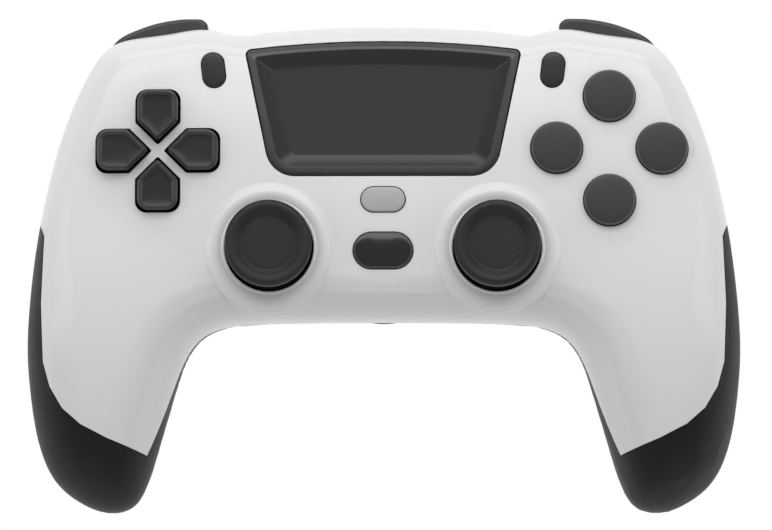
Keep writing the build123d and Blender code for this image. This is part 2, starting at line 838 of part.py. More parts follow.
def make_stick(name, side):
    x = side * stick_x
    y = stick_y
    z = pivot_height
    base = board_top + seat_gap
    hole = trunnion_radius + running_clearance
    inner = stick_box / 2 - stick_box_wall

    with BuildPart() as housing:
        half = stick_box / 2
        block((x - half, x + half), (y - half, y + half), (base, stick_box_top))
        block((x - inner, x + inner), (y - inner, y + inner), (base + stick_box_wall, tall), Mode.SUBTRACT)
        rod((x - stick_box, x + stick_box), y, z, hole, Mode.SUBTRACT)
        rod_y(x, (y - stick_box, y + stick_box), z, hole, Mode.SUBTRACT)
    finish(housing, name + "_stick_housing")

    with BuildPart() as lower_rocker:
        block((x - rocker_half, x + rocker_half), (y - rocker_length, y + rocker_length),
              (z - rocker_height, z + rocker_height))
        rod_y(x, (y - trunnion_reach, y + trunnion_reach), z, trunnion_radius)
        block((x - rocker_window_half, x + rocker_window_half),
              (y - rocker_window_length, y + rocker_window_length), (base, tall), Mode.SUBTRACT)
        rod((x - stick_box, x + stick_box), y, z, pin_radius + running_clearance, Mode.SUBTRACT)
    finish(lower_rocker, name + "_lower_rocker")

    with BuildPart() as pivot_pin:
        rod((x - rocker_half, x + rocker_half), y, z, pin_radius)
    finish(pivot_pin, name + "_pivot_pin")

    with BuildPart() as upper_rocker:
        rod_y(x, (y - arch_half, y + arch_half), z, arch_outer)
        rod((x - trunnion_reach, x + trunnion_reach), y, z, trunnion_radius)
        rod_y(x, (y - stick_box, y + stick_box), z, arch_inner, Mode.SUBTRACT)
        foot = z - trunnion_radius
        block((x - stick_box, x + stick_box), (y - stick_box, y + stick_box), (base, foot), Mode.SUBTRACT)
        reach = arch_outer * math.sin(math.radians(arch_slot_angle))
        block((x - reach, x + reach), (y - arch_slot, y + arch_slot), (z, tall), Mode.SUBTRACT)
    finish(upper_rocker, name + "_upper_rocker")

    with BuildPart() as lever:
        post(x, y, lever_radius, lever_low, lever_high)
        slot = pin_radius + running_clearance
        rod((x - stick_box, x + stick_box), y, z, slot, Mode.SUBTRACT)
        rod((x - stick_box, x + stick_box), y, z + lever_travel, slot, Mode.SUBTRACT)
        block((x - stick_box, x + stick_box), (y - slot, y + slot), (z, z + lever_travel), Mode.SUBTRACT)
    finish(lever, name + "_stick_lever")

    with BuildPart() as cap:
        with BuildSketch(Plane.XZ.offset(-y)) as skirt:
            with BuildLine():
                outside = [skirt_point(x, z, skirt_outer, share) for share in (0, 1 / 2, 1)]
                inside = [skirt_point(x, z, skirt_inner, share) for share in (1, 1 / 2, 0)]
                ThreePointArc(*outside)
                Line(outside[-1], inside[0])
                ThreePointArc(*inside)
                Line(inside[-1], outside[0])
            make_face()
        revolve(skirt.sketch, Axis((x, y, 0), (0, 0, 1)))
        post(x, y, cap_stem_radius, cap_low, cap_neck + cap_round)
        with BuildSketch(Plane.XZ.offset(-y)) as head:
            with BuildLine():
                groove = (x + cap_groove_radius, cap_top - cap_groove)
                rim = (x + cap_radius, cap_top - cap_round)
                crest = (x + (cap_groove_radius + cap_radius) / 2 + running_clearance, cap_top)
                ThreePointArc(rim, crest, groove)
                Polyline(
                    groove, (x + cap_ridge_radius, cap_top - cap_groove / 2),
                    (x + cap_disc_radius, cap_top - cap_disc_sink),
                    (x + cap_disc_radius - running_clearance, cap_top - cap_groove),
                    (x, cap_top - cap_groove), (x, cap_neck),
                    (x + cap_radius - cap_round / 2, cap_neck), (x + cap_radius, cap_neck + cap_round), rim)
            make_face()
        revolve(head.sketch, Axis((x, y, 0), (0, 0, 1)))
        post(x, y, lever_radius + seat_gap, base, lever_high + seat_gap, Mode.SUBTRACT)
    finish(cap, name + "_stick_cap")

    with BuildPart() as sensors:
        low = stick_box / 2 + seat_gap
        block((x - sensor_half, x + sensor_half), (y - sensor_reach, y - low), (base, sensor_top))
        across = (stick_x + low, stick_x + sensor_reach)
        block(sided(side, across), (y - sensor_half, y + sensor_half), (base, sensor_top))
        reach = trunnion_reach + moving_gap
        rod((x - reach, x + reach), y, z, hole, Mode.SUBTRACT)
        rod_y(x, (y - reach, y + reach), z, hole, Mode.SUBTRACT)
    finish(sensors, name + "_stick_sensors")

    with BuildPart() as click_switch:
        floor = base + stick_box_wall + seat_gap
        block((x - click_half, x + click_half), (y - click_half, y + click_half), (floor, click_top - pin_radius))
        post(x, y, trunnion_radius, click_top - pin_radius, click_top)
    finish(click_switch, name + "_click_switch")


def skirt_point(x, z, radius, share):
    """A point of the round skirt, from its top to its lower edge."""
    angle = math.radians(skirt_angle * share)
    return x + radius * math.sin(angle), z + radius * math.cos(angle)


# Face buttons and their rubber


def make_buttons():
    for label, (x, y, turn) in buttons.items():
        top = front_height(x, y) + button_rise
        with BuildPart() as button:
            post(x, y, button_radius, button_low, tall)
            with Locations((x, y, top + button_dome - button_dome_radius)):
                Sphere(button_dome_radius, rotation=(90, 0, 0), mode=Mode.INTERSECT)
            rim = button.edges().filter_by(GeomType.CIRCLE).sort_by(Axis.Z)[-1]
            fillet(rim, button_edge)
            post(x, y, button_pocket_radius, button_low, button_pocket_top, Mode.SUBTRACT)
            with Locations(Location((x, y, button_low), (0, 0, turn))):
                with PolarLocations(button_radius - button_tab_inset, 2):
                    reach = button_tab_reach - button_radius + button_tab_inset
                    Box(reach, 2 * button_tab_half, button_tab_height,
                        align=(Align.MIN, Align.CENTER, Align.MIN))
        finish(button, label)

    with BuildPart() as action_rubber_pad:
        low = deck_top + seat_gap
        high = low + rubber_thickness
        post(button_x, button_y, button_rubber_radius, low, high)
        for x, y, _ in buttons.values():
            post(x, y, dome_radius, high, dome_top)
        x, y = posts[2]
        post(x, y, post_radius + post_clearance, low, high, Mode.SUBTRACT)
    finish(action_rubber_pad, "action_rubber_pad")


# The direction pad


def make_direction_pad():
    with BuildPart() as dpad:
        post(pad_x, pad_y, pad_disc_radius, pad_disc_low, pad_disc_high)
        top = front_height(pad_x, pad_y) + pad_rise
        with BuildSketch(Plane.XY.offset(pad_disc_high - running_clearance)):
            add(key_outline(0))
        extrude(amount=top - pad_disc_high)
        rim = dpad.faces().filter_by(Axis.Z).group_by(Axis.Z)[-1].edges()
        fillet(rim, pad_rim)
        with Locations((pad_x, pad_y, top + pad_dish_radius - pad_dish)):
            with PolarLocations((key_reach + key_tip) / 2 + pad_rim, 4):
                Sphere(pad_dish_radius, mode=Mode.SUBTRACT)
        with Locations((pad_x, pad_y, pivot_ball_height)):
            Sphere(pivot_ball_radius + running_clearance, mode=Mode.SUBTRACT)
    finish(dpad, "dpad")

    with BuildPart() as dpad_pivot:
        with Locations((pad_x, pad_y, pivot_ball_height)):
            Sphere(pivot_ball_radius)
    finish(dpad_pivot, "dpad_pivot")

    with BuildPart() as dpad_rubber_pad:
        low = deck_top + seat_gap
        high = low + rubber_thickness
        post(pad_x, pad_y, pad_disc_radius, low, high)
        with Locations((pad_x, pad_y, high)):
            with PolarLocations(pad_dome_reach, 4):
                Cylinder(pad_dome_radius, pad_dome_top - high, align=standing)
        post(pad_x, pad_y, pivot_hole_radius, low, tall, Mode.SUBTRACT)
    finish(dpad_rubber_pad, "dpad_rubber_pad")


# The small buttons


def make_small_buttons():
    for label, pill in pills.items():
        x, y = pill[:2]
        top = front_height(x, y) + pill_rise
        with BuildPart() as button:
            with BuildSketch(Plane.XY.offset(pill_low)):
                add(pill_outline(*pill, 0))
            extrude(amount=top - pill_low)
            rim = button.faces().sort_by(Axis.Z)[-1].edges()
            fillet(rim, pill_edge)
            with BuildPart(mode=Mode.PRIVATE) as flange:
                with BuildSketch(Plane.XY.offset(pill_low)):
                    add(pill_outline(*pill, pill_flange))
                extrude(amount=pill_flange_height)
                add(content_form, mode=Mode.INTERSECT)
            add(flange.part)
        finish(button, label)
    with BuildPart() as button_switches:
        for x, y, *_ in pills.values():
            half = pill_switch_half
            block((x - half, x + half), (y - half, y + half), (deck_top + seat_gap, pill_switch_top))
    finish(button_switches, "button_switches")


# The touchpad


def make_touchpad():
    plane = touch_plane()
    with BuildPart() as touchpad_cover:
        add(outer_form)
        with BuildPart(mode=Mode.PRIVATE) as column:
            with BuildSketch() as area:
                add(touch_outline(0, Plane.XY))
            extrude(amount=tall)
            beneath = plane.offset(-touch_depth)
            split(bisect_by=beneath, keep=Keep.TOP)
        add(column.part, mode=Mode.INTERSECT)
        with BuildPart(mode=Mode.PRIVATE) as recess:
            with BuildSketch(plane.offset(overrun / 2)) as mouth:
                add(touch_panel_outline(-touch_rim))
            extrude(amount=-overrun / 2)
            with BuildSketch(plane) as rim:
                add(touch_panel_outline(-touch_rim))
            with BuildSketch(plane.offset(-touch_sink)) as floor:
                add(touch_panel_outline(-touch_rim - touch_bevel))
            loft([rim.sketch, floor.sketch], ruled=True)
        add(recess.part, mode=Mode.SUBTRACT)
    finish(touchpad_cover, "touchpad_cover")

    with BuildPart() as touch_sensor_board:
        low_y, high_y = touch_board_y
        with BuildSketch(Plane.YZ.offset(-touch_board_half)):
            with BuildLine():
                top = touch_depth + seat_gap
                base = top + touch_board_thickness
                Polyline(
                    (low_y, touch_height(low_y) - top), (high_y, touch_height(high_y) - top),
                    (high_y, touch_height(high_y) - base), (low_y, touch_height(low_y) - base), close=True)
            make_face()
        extrude(amount=2 * touch_board_half)
    finish(touch_sensor_board, "touch_sensor_board")

    with BuildPart() as touch_click_switch:
        half = touch_switch_half
        block((-half, half), (touch_switch_y - half, touch_switch_y + half), (deck_top + seat_gap, touch_switch_top))
    finish(touch_click_switch, "touch_click_switch")


def touch_panel_outline(grow):
    """The touchpad outline in the touchpad's own plane."""
    origin_y = touch_plane_low[0]
    with BuildSketch() as outline_sketch:
        with Locations((0, -origin_y)):
            add(touch_outline(0, Plane.XY))
        offset(amount=grow, kind=Kind.INTERSECTION)
    return outline_sketch.sketch


# Bumpers, triggers and the frames that carry them


def shoulder_outline(side, low_y, setback):
    """Plan of a bumper, closed at low_y and set back from the front."""
    with BuildSketch() as outline_sketch:
        with BuildLine():
            points = [(side * x * half_width, y * bumper_reach - setback) for x, y in bumper_shares]
            Spline(points)
            first, last = points[0], points[-1]
            Polyline(last, (last[0], low_y), (first[0], low_y), first)
        make_face()
    return outline_sketch.sketch


def make_bumper(name, side):
    with BuildPart() as bumper:
        with BuildSketch(Plane.XY.offset(bumper_z[0])):
            add(shoulder_outline(side, bumper_inner_y, 0))
        extrude(amount=bumper_z[1] - bumper_z[0])
        edges = bumper.faces().filter_by(Axis.Z).edges().filter_by(lambda e: e.center().Y > bumper_round_y)
        fillet(edges, bumper_round)
        block((-far, far), (bumper_reach, far), (0, tall), Mode.SUBTRACT)
        block(sided(side, bumper_arm_x), bumper_arm_y, bumper_arm_z)
        x, y = bumper_post
        hole = bumper_post_radius + running_clearance
        post(side * x, y, hole, 0, tall, Mode.SUBTRACT)
    finish(bumper, name + "_bumper")

    with BuildPart() as bumper_switch:
        block(sided(side, bumper_switch_x), bumper_switch_y, bumper_switch_z)
        x = side * sum(bumper_switch_x) / 2
        z = sum(bumper_switch_z) / 2
        rod_y(x, (bumper_switch_y[1], bumper_plunger_y), z, bumper_plunger_radius)
    finish(bumper_switch, name + "_bumper_switch")


def trigger_section(points, x_span):
    """A bar along X with the given outline of Y and Z."""
    with BuildSketch(Plane.YZ.offset(x_span[0])) as profile:
        with BuildLine():
            Polyline(points, close=True)
        make_face()
    extrude(profile.sketch, amount=x_span[1] - x_span[0])


def make_trigger(name, side):
    middle = side * trigger_x
    y, z = trigger_pivot
    half = trigger_half
    with BuildPart() as trigger:
        with BuildSketch(Plane.YZ.offset(middle - half)):
            with BuildLine():
                back = trigger_outline[-1]
                Polyline(back, (y - trigger_hub, z))
                turn = trigger_hub / math.sqrt(2)
                ThreePointArc((y - trigger_hub, z), (y - turn, z + turn), (y, z + trigger_hub))
                Polyline((y, z + trigger_hub), trigger_outline[0])
                Polyline(trigger_outline)
            make_face()
        extrude(amount=2 * half)
        with BuildPart(mode=Mode.PRIVATE) as hollow:
            inner = trigger_hollow_half
            trigger_section(trigger_hollow, (middle - inner, middle + inner))
        extrude(shoulder_outline(side, trigger_pocket_y, trigger_setback), amount=tall, mode=Mode.INTERSECT)
        add(hollow.part, mode=Mode.SUBTRACT)
        rod((middle - trigger_pin_half - seat_gap, middle + trigger_pin_half + seat_gap), y, z,
            trigger_pin_radius + seat_gap / 3, Mode.SUBTRACT)
    finish(trigger, name + "_trigger")

    with BuildPart() as trigger_pin:
        rod((middle - trigger_pin_half, middle + trigger_pin_half), y, z, trigger_pin_radius)
    finish(trigger_pin, name + "_trigger_pin")

    with BuildPart() as trigger_spring:
        reach = trigger_spring_half
        rod((middle - reach, middle + reach), y, z, trigger_spring_outer)
        low_y = frame_wall_y[1] + seat_gap
        wire = trigger_spring_wire
        block((middle - wire, middle + wire), (low_y, y - trigger_pin_radius),
              (z - trigger_spring_inner - 2 * wire, z - trigger_spring_inner))
        rod((middle - reach, middle + reach), y, z, trigger_spring_inner, Mode.SUBTRACT)
    finish(trigger_spring, name + "_trigger_spring")

    with BuildPart() as shoulder_frame:
        block(sided(side, frame_wall_x), frame_wall_y, frame_wall_z)
        low_y = frame_wall_y[0]
        block(sided(side, frame_wall_x), (low_y, frame_shelf_y), frame_shelf_z)
        block(sided(side, frame_plate_x), (low_y, frame_plate_y), (frame_shelf_z[0], frame_plate_top))
        x, post_y = bumper_post
        post(side * x, post_y, bumper_post_radius, frame_plate_top - running_clearance, frame_post_top)
        for part_side in sides.values():
            lug = sided(part_side, trigger_lug_x)
            span = (middle + lug[0], middle + lug[1])
            rod(span, y, z, trigger_lug_radius)
            block(span, (low_y, y), (z - trigger_lug_radius, z + trigger_lug_radius))
        add(content_form, mode=Mode.INTERSECT)
        rod((middle - half, middle + half), y, z, trigger_pin_radius + running_clearance, Mode.SUBTRACT)
    finish(shoulder_frame, name + "_shoulder_frame")


# Motors, battery and sockets


def make_motor(name, side):
    with BuildPart() as rumble_motor:
        rod(sided(side, motor_x), motor_y, motor_z, motor_radius)
        shaft = (weight_x[0] + weight_hub, motor_x[0] + overrun)
        rod(sided(side, shaft), motor_y, motor_z, motor_shaft_radius)
    finish(rumble_motor, name + "_rumble_motor")

    radius = weight_radius_left if side < 0 else weight_radius_right
    with BuildPart() as rumble_weight:
        rod(sided(side, weight_x), motor_y, motor_z, radius)
        block((-far, far), (-far, far), (motor_z, tall), Mode.SUBTRACT)
        rod(sided(side, weight_x), motor_y, motor_z, weight_hub)
        rod(sided(side, (weight_x[0], far)), motor_y, motor_z, motor_shaft_radius + running_clearance,
            Mode.SUBTRACT)
    finish(rumble_weight, name + "_rumble_weight")


def make_battery():
    with BuildPart() as battery:
        block((-battery_half, battery_half), battery_y, battery_z)
        fillet(battery.edges(), battery_round)
    finish(battery, "battery")


def make_sockets():
    with BuildPart() as headset_jack:
        block((-jack_half, jack_half), (jack_body_y, jack_y[1]), jack_z)
        rod_y(0, jack_y, jack_height, jack_ring)
        rod_y(0, (jack_y[0], jack_y[0] + jack_depth), jack_height, jack_bore, Mode.SUBTRACT)
    finish(headset_jack, "headset_jack")

    low, high = port_z
    middle = (low + high) / 2
    height = high - low
    with BuildPart() as usb_port:
        with BuildSketch(Plane.XZ.offset(-port_y[0])):
            with Locations((0, middle)):
                RectangleRounded(2 * port_half, height, port_round)
        extrude(amount=port_y[0] - port_y[1])
        with BuildSketch(Plane.XZ.offset(-port_y[1])):
            with Locations((0, middle)):
                RectangleRounded(2 * (port_half - port_wall), height - 2 * port_wall, port_round - port_wall)
        extrude(amount=port_depth, mode=Mode.SUBTRACT)
        block((-port_tongue_half, port_tongue_half), (port_y[1] - port_depth, port_y[1] - port_wall),
              (middle - port_tongue, middle + port_tongue))
    finish(usb_port, "usb_port")


make_front_shell()
make_rear_shell()
make_mid_frame()
make_main_board()
make_screws()
make_buttons()
make_direction_pad()
make_small_buttons()
make_touchpad()
make_battery()
make_sockets()
for side_name, side_sign in sides.items():
    make_stick(side_name, side_sign)
    make_bumper(side_name, side_sign)
    make_trigger(side_name, side_sign)
    make_motor(side_name, side_sign)
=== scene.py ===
# %% [markdown]
# # A two-handled gamepad controller
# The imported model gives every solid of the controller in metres, lying on its back with the
# controls up. This lesson keeps the solids that are already right, models the visible controls
# again with finer shapes, and gives every piece the finish of moulded plastic, rubber or metal.
# Lengths on the controller are written in millimetres, and mm turns them into Blender's metres.

import bpy
import json
import math
import numpy
from mathutils import Matrix, Vector, kdtree


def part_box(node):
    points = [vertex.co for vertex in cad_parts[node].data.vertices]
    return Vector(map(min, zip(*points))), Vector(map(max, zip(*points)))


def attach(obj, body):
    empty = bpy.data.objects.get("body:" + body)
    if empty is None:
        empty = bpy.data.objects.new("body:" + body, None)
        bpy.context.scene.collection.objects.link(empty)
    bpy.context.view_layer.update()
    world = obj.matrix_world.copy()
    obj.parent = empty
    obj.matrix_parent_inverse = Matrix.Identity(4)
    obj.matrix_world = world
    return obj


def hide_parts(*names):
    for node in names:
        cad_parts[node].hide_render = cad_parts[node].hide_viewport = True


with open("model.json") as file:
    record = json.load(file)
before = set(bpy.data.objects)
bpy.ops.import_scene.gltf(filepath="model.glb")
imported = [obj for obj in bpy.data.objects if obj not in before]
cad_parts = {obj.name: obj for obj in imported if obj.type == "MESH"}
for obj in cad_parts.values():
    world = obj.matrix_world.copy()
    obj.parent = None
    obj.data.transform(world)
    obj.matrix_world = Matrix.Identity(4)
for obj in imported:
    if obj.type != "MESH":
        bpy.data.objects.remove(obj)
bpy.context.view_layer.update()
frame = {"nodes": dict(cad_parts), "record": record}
mm = 0.001
bpy.context.scene.view_settings.view_transform = "Standard"

# %% [markdown]
# ## Selecting in code
# An operator acts on everything that is selected, and loading leaves all solids selected. By
# hand one would click on a piece or press Alt+A first. In code, each step starts from an empty
# selection, and points and edges are selected by their numbers before edit mode opens.

# %% Selection helpers


def deselect():
    if bpy.context.object and bpy.context.object.mode != "OBJECT":
        bpy.ops.object.mode_set(mode="OBJECT")
    bpy.ops.object.select_all(action="DESELECT")


def choose(*pieces):
    deselect()
    for piece in pieces:
        piece.select_set(True)
    bpy.context.view_layer.objects.active = pieces[0]


def edit(piece):
    choose(piece)
    bpy.ops.object.mode_set(mode="EDIT")


def leave():
    bpy.ops.object.mode_set(mode="OBJECT")


def select_points(piece, chosen):
    """Select these points and the edges between them, and nothing else."""
    for face in piece.data.polygons:
        face.select = False
    for point in piece.data.vertices:
        point.select = point.index in chosen
    for line in piece.data.edges:
        line.select = all(number in chosen for number in line.vertices)


def face_outwards(piece):
    edit(piece)
    bpy.ops.mesh.select_all(action="SELECT")
    bpy.ops.mesh.normals_make_consistent(inside=False)
    leave()


# %% [markdown]
# ## Finishing a piece
# A modifier can stay live, but a piece that moves with a joint is simplest with its modifiers
# applied and its place put into its mesh. Then it is hung on the body it rides on, which the
# record gives, and the solid it stands for is hidden.

# %% Finishing helpers
node_body = {node: body for body, nodes in frame["record"]["behaviour"]["bodies"].items()
             for node in nodes}
node_slot = {part["node"]: part["material_slot"] for part in frame["record"]["subparts"]}


def settle(piece):
    """Put a piece's place, turn and size into its mesh."""
    choose(piece)
    bpy.ops.object.transform_apply(location=True, rotation=True, scale=True)


def moved(piece, x, y, degrees=0.0):
    piece.rotation_euler = (0, 0, math.radians(degrees))
    piece.location = (x * mm, y * mm, 0)
    settle(piece)
    return piece


def apply_all(piece):
    choose(piece)
    for modifier in list(piece.modifiers):
        bpy.ops.object.modifier_apply(modifier=modifier.name)


def smooth(piece, degrees):
    choose(piece)
    bpy.ops.object.shade_smooth_by_angle(angle=math.radians(degrees))


def ride_along(piece, node, *materials):
    """Give a piece its finishes, and hang it on the body of a solid."""
    for material in materials:
        piece.data.materials.append(material)
    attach(piece, node_body[node])


def hand_over(piece, node, *materials):
    """Let a finished piece stand for a solid."""
    settle(piece)
    ride_along(piece, node, *materials)
    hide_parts(node)


def middle_of(node):
    """Middle of a solid's box seen from above, in millimetres."""
    low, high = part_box(node)
    return (low[0] + high[0]) / 2 / mm, (low[1] + high[1]) / 2 / mm


print("finish slots:", len(set(node_slot.values())))

# %% [markdown]
# ## Effects that many finishes share
# An effect that more than one material uses is best kept in a node group: it is built once, and
# each material places it with its own values. Both groups here start from a noise. An image
# could carry the same patterns, but a noise needs no unwrapping and has no seams. It reads Object
# coordinates, so it stays on the piece when a joint moves.

# %% Node group helpers


def new_group(name, inputs, outputs):
    """A shader group with (label, value) number inputs and (label, kind) outputs."""
    group = bpy.data.node_groups.new(name, "ShaderNodeTree")
    for label, value in inputs:
        socket = group.interface.new_socket(label, in_out="INPUT", socket_type="NodeSocketFloat")
        socket.default_value = value
    for label, kind in outputs:
        group.interface.new_socket(label, in_out="OUTPUT", socket_type=kind)
    return group, group.nodes.new("NodeGroupInput"), group.nodes.new("NodeGroupOutput")


def add_noise(group, entry, detail):
    """A noise on Object coordinates whose scale is the group's own input."""
    place = group.nodes.new("ShaderNodeTexCoord")
    noise = group.nodes.new("ShaderNodeTexNoise")
    noise.inputs["Detail"].default_value = detail
    group.links.new(place.outputs["Object"], noise.inputs["Vector"])
    group.links.new(entry.outputs["Scale"], noise.inputs["Scale"])
    return noise


# %% [markdown]
# ## Grain of moulded plastic
# Moulded plastic is never perfectly flat: the grain of the steel tool shows as a very fine
# texture. Real displacement would need millions of faces, so a Bump node only tilts the normal.

# %% The grain
grain_depth = 0.05 * mm
moulded_grain, entry, exit_node = new_group(
    "moulded_grain", [("Scale", 2000.0), ("Strength", 0.2), ("Depth", grain_depth)],
    [("Normal", "NodeSocketVector")])
fine = add_noise(moulded_grain, entry, detail=3.0)
bump = moulded_grain.nodes.new("ShaderNodeBump")
links = moulded_grain.links
links.new(fine.outputs["Fac"], bump.inputs["Height"])
links.new(entry.outputs["Strength"], bump.inputs["Strength"])
links.new(entry.outputs["Depth"], bump.inputs["Distance"])
links.new(bump.outputs["Normal"], exit_node.inputs["Normal"])
print("group:", moulded_grain.name)

# %% [markdown]
# ## Slow change of gloss
# Hands and moulding leave a surface a little duller in one place than in the next. Painting
# that would take a map for each piece. This group spreads a wide noise between two values, and
# it also puts out the noise itself, as a mask for the two tones of a colour.

# %% The slow variation
cloud_low, cloud_high = 0.3, 0.7  # where most of a noise's values lie
slow_variation, entry, exit_node = new_group(
    "slow_variation", [("Scale", 60.0), ("Low", 0.3), ("High", 0.4)],
    [("Value", "NodeSocketFloat"), ("Mask", "NodeSocketFloat")])
cloud = add_noise(slow_variation, entry, detail=2.0)
spread = slow_variation.nodes.new("ShaderNodeMapRange")
spread.inputs["From Min"].default_value = cloud_low
spread.inputs["From Max"].default_value = cloud_high
links = slow_variation.links
links.new(cloud.outputs["Fac"], spread.inputs["Value"])
links.new(entry.outputs["Low"], spread.inputs["To Min"])
links.new(entry.outputs["High"], spread.inputs["To Max"])
links.new(spread.outputs["Result"], exit_node.inputs["Value"])
links.new(cloud.outputs["Fac"], exit_node.inputs["Mask"])
print("group:", slow_variation.name)

# %% [markdown]
# ## One finish
# Each finish is one Principled shader. Its colour varies by a few percent between two near
# tones, its roughness follows the slow variation and its normal follows the grain. What is
# the same all over a surface, such as the coat, is written on the shader itself.

# %% Make a finish
coat_roughness = 0.08
finishes = []


def grey(value):
    return value, value, value


def place_group(nodes, group, **values):
    node = nodes.new("ShaderNodeGroup")
    node.node_tree = group
    for label, value in values.items():
        node.inputs[label].default_value = value
    return node


def finish(name, dark, light, rough, grain, metallic=0.0, coat=0.0, clouds=60.0,
           depth=grain_depth, specular=0.5):
    """A material; rough is a range of roughness, and grain a scale and a strength."""
    material = bpy.data.materials.new(name)
    material.use_nodes = True
    nodes, links = material.node_tree.nodes, material.node_tree.links
    shader = nodes["Principled BSDF"]
    shader.inputs["Metallic"].default_value = metallic
    shader.inputs["Coat Weight"].default_value = coat
    shader.inputs["Coat Roughness"].default_value = coat_roughness
    shader.inputs["Specular IOR Level"].default_value = specular
    change = place_group(nodes, slow_variation, Scale=clouds, Low=rough[0], High=rough[1])
    relief = place_group(nodes, moulded_grain, Scale=grain[0], Strength=grain[1], Depth=depth)
    tone = nodes.new("ShaderNodeMix")
    tone.data_type = "RGBA"
    tone.inputs["A"].default_value = (*dark, 1)
    tone.inputs["B"].default_value = (*light, 1)
    links.new(change.outputs["Mask"], tone.inputs["Factor"])
    links.new(tone.outputs["Result"], shader.inputs["Base Color"])
    links.new(change.outputs["Value"], shader.inputs["Roughness"])
    links.new(relief.outputs["Normal"], shader.inputs["Normal"])
    finishes.append(name)
    return material


# %% [markdown]
# ## Finishes of the housing
# The face is white plastic with a soft gloss, the back and the handles' outer sides are a
# matt black that feels like rubber, and the shoulder pieces are a glossier dark grey. They
# differ in tone, in roughness and in how coarse their grain is.

# %% Housing finishes
white_shell = finish("white_gloss_plastic", grey(0.81), grey(0.825), rough=(0.27, 0.3),
                     grain=(900, 0.03), coat=0.3, clouds=25)
black_grip = finish("soft_touch_black", grey(0.006), grey(0.009), rough=(0.5, 0.58),
                    grain=(3500, 0.3), specular=0.25)
shoulder_black = finish("shoulder_black", grey(0.035), grey(0.042), rough=(0.26, 0.32),
                        grain=(1500, 0.05))
print("housing finishes:", len(finishes))

# %% [markdown]
# ## Finishes of the controls
# All the controls are nearly black, so what tells them apart is gloss. Round an edge, where
# fingers rub, the plastic is polished, and a second finish on the same piece gives it its own
# gloss and a lighter tone, which is partly wear and partly a painted highlight along the rounded
# edge. The disc on a stick cap has the deepest grain of all, for grip.

# %% Control finishes
black_gloss = finish("polished_black", grey(0.012), grey(0.016), rough=(0.14, 0.2),
                     grain=(1200, 0.03), coat=0.4, specular=0.4)
black_satin = finish("satin_black", grey(0.02), grey(0.026), rough=(0.3, 0.38),
                     grain=(2500, 0.1), specular=0.4)
key_black = finish("key_black", grey(0.01), grey(0.014), rough=(0.34, 0.42), grain=(3500, 0.15),
                   specular=0.4)
# painted highlight: the rim finish is lighter to stand for light caught by the upturned rounded
# rim
key_rim_gloss_and_highlight = finish("key_rim_gloss_and_highlight", grey(0.03), grey(0.038), rough=(0.26, 0.34), grain=(3500, 0.1))
button_grey = finish("button_dark_grey", grey(0.036), grey(0.044), rough=(0.42, 0.5),
                     grain=(4000, 0.15), specular=0.4)
# painted highlight: this edge finish is lighter to stand for light caught on a rounded edge,
# partly also wear
button_edge_wear_and_highlight = finish("button_edge_wear_and_highlight", grey(0.075), grey(0.09), rough=(0.3, 0.36),
                     grain=(3500, 0.1))
bevel_black = finish("touch_bevel_black", grey(0.012), grey(0.016), rough=(0.28, 0.34),
                     grain=(2500, 0.05), specular=0.7)
panel_black = finish("touch_panel_black", grey(0.024), grey(0.03), rough=(0.5, 0.58),
                     grain=(5000, 0.3), specular=0.3)
pill_grey = finish("pill_light_grey", grey(0.44), grey(0.47), rough=(0.35, 0.45),
                   grain=(2500, 0.1))
cap_rubber = finish("cap_rubber", grey(0.013), grey(0.018), rough=(0.48, 0.58),
                    grain=(2600, 0.45), specular=0.4)
cap_disc = finish("cap_grip_disc", grey(0.012), grey(0.022), rough=(0.55, 0.7),
                  grain=(4200, 0.9), depth=0.3 * mm)
print("with those of the controls:", len(finishes))

# %% [markdown]
# ## Finishes of the inside
# Inside are plain mouldings, a green board, steel switches and screws, blue sensor cases, pale
# rubber domes and a battery in film. They are rarely seen, so each has a simple finish.

# %% Inner finishes
dome_rubber = finish("silicone_domes", grey(0.3), grey(0.36), rough=(0.5, 0.6),
                     grain=(800, 0.1))
inner_black = finish("inner_black_moulding", grey(0.03), grey(0.04), rough=(0.5, 0.6),
                     grain=(1500, 0.2))
inner_grey = finish("inner_grey_moulding", grey(0.35), grey(0.4), rough=(0.45, 0.55),
                    grain=(1500, 0.15))
board_green = finish("board_laminate", (0.01, 0.11, 0.04), (0.015, 0.16, 0.06),
                     rough=(0.35, 0.45), grain=(900, 0.1))
steel = finish("stamped_steel", grey(0.5), grey(0.6), rough=(0.25, 0.38), grain=(2500, 0.1),
               metallic=1.0)
sensor_blue = finish("sensor_cases", (0.03, 0.04, 0.12), (0.04, 0.05, 0.16), rough=(0.4, 0.5),
                     grain=(1500, 0.15))
battery_wrap = finish("battery_film", (0.04, 0.045, 0.06), (0.05, 0.055, 0.07),
                      rough=(0.15, 0.3), grain=(300, 0.1), coat=0.3)
print("all finishes:", len(finishes))

# %% [markdown]
# ## Solids that stay
# Most inner pieces are hidden or plain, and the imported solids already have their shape. They
# could be copied and bevelled too, but nobody would see it, so they only get a finish.

# %% Finish the solids
slot_finish = {
    "white_shell": white_shell, "black_grip": black_grip, "black_gloss": black_gloss,
    "black_satin": black_satin, "black_key": key_black, "grey_button": pill_grey,
    "black_button": button_grey, "black_rubber": cap_rubber, "dome_rubber": dome_rubber,
    "inner_black": inner_black, "inner_grey": inner_grey, "board_green": board_green,
    "switch_metal": steel, "sensor_body": sensor_blue, "screw_steel": steel,
    "battery_wrap": battery_wrap,
}
for name, solid in frame["nodes"].items():
    solid.data.materials.clear()
    solid.data.materials.append(slot_finish[node_slot[name]])
print("solids finished:", len(frame["nodes"]))

# %% [markdown]
# ## Smooth copies
# The shells, the bumpers and the triggers are large curved mouldings. Their solids have the
# right form, but loose triangles shade as facets. Modelling them again would risk other shapes
# and gaps. A copy with its points merged can be shaded smoothly, and a narrow bevel on its
# sharp edges catches the light as a real moulded edge does.

# %% Copy a solid and smooth it
merge_distance = 0.01 * mm
flat_angle = math.radians(0.5)
bevel_degrees = 35
sharp_degrees = 30      # of a copied solid: a steeper edge stays sharp


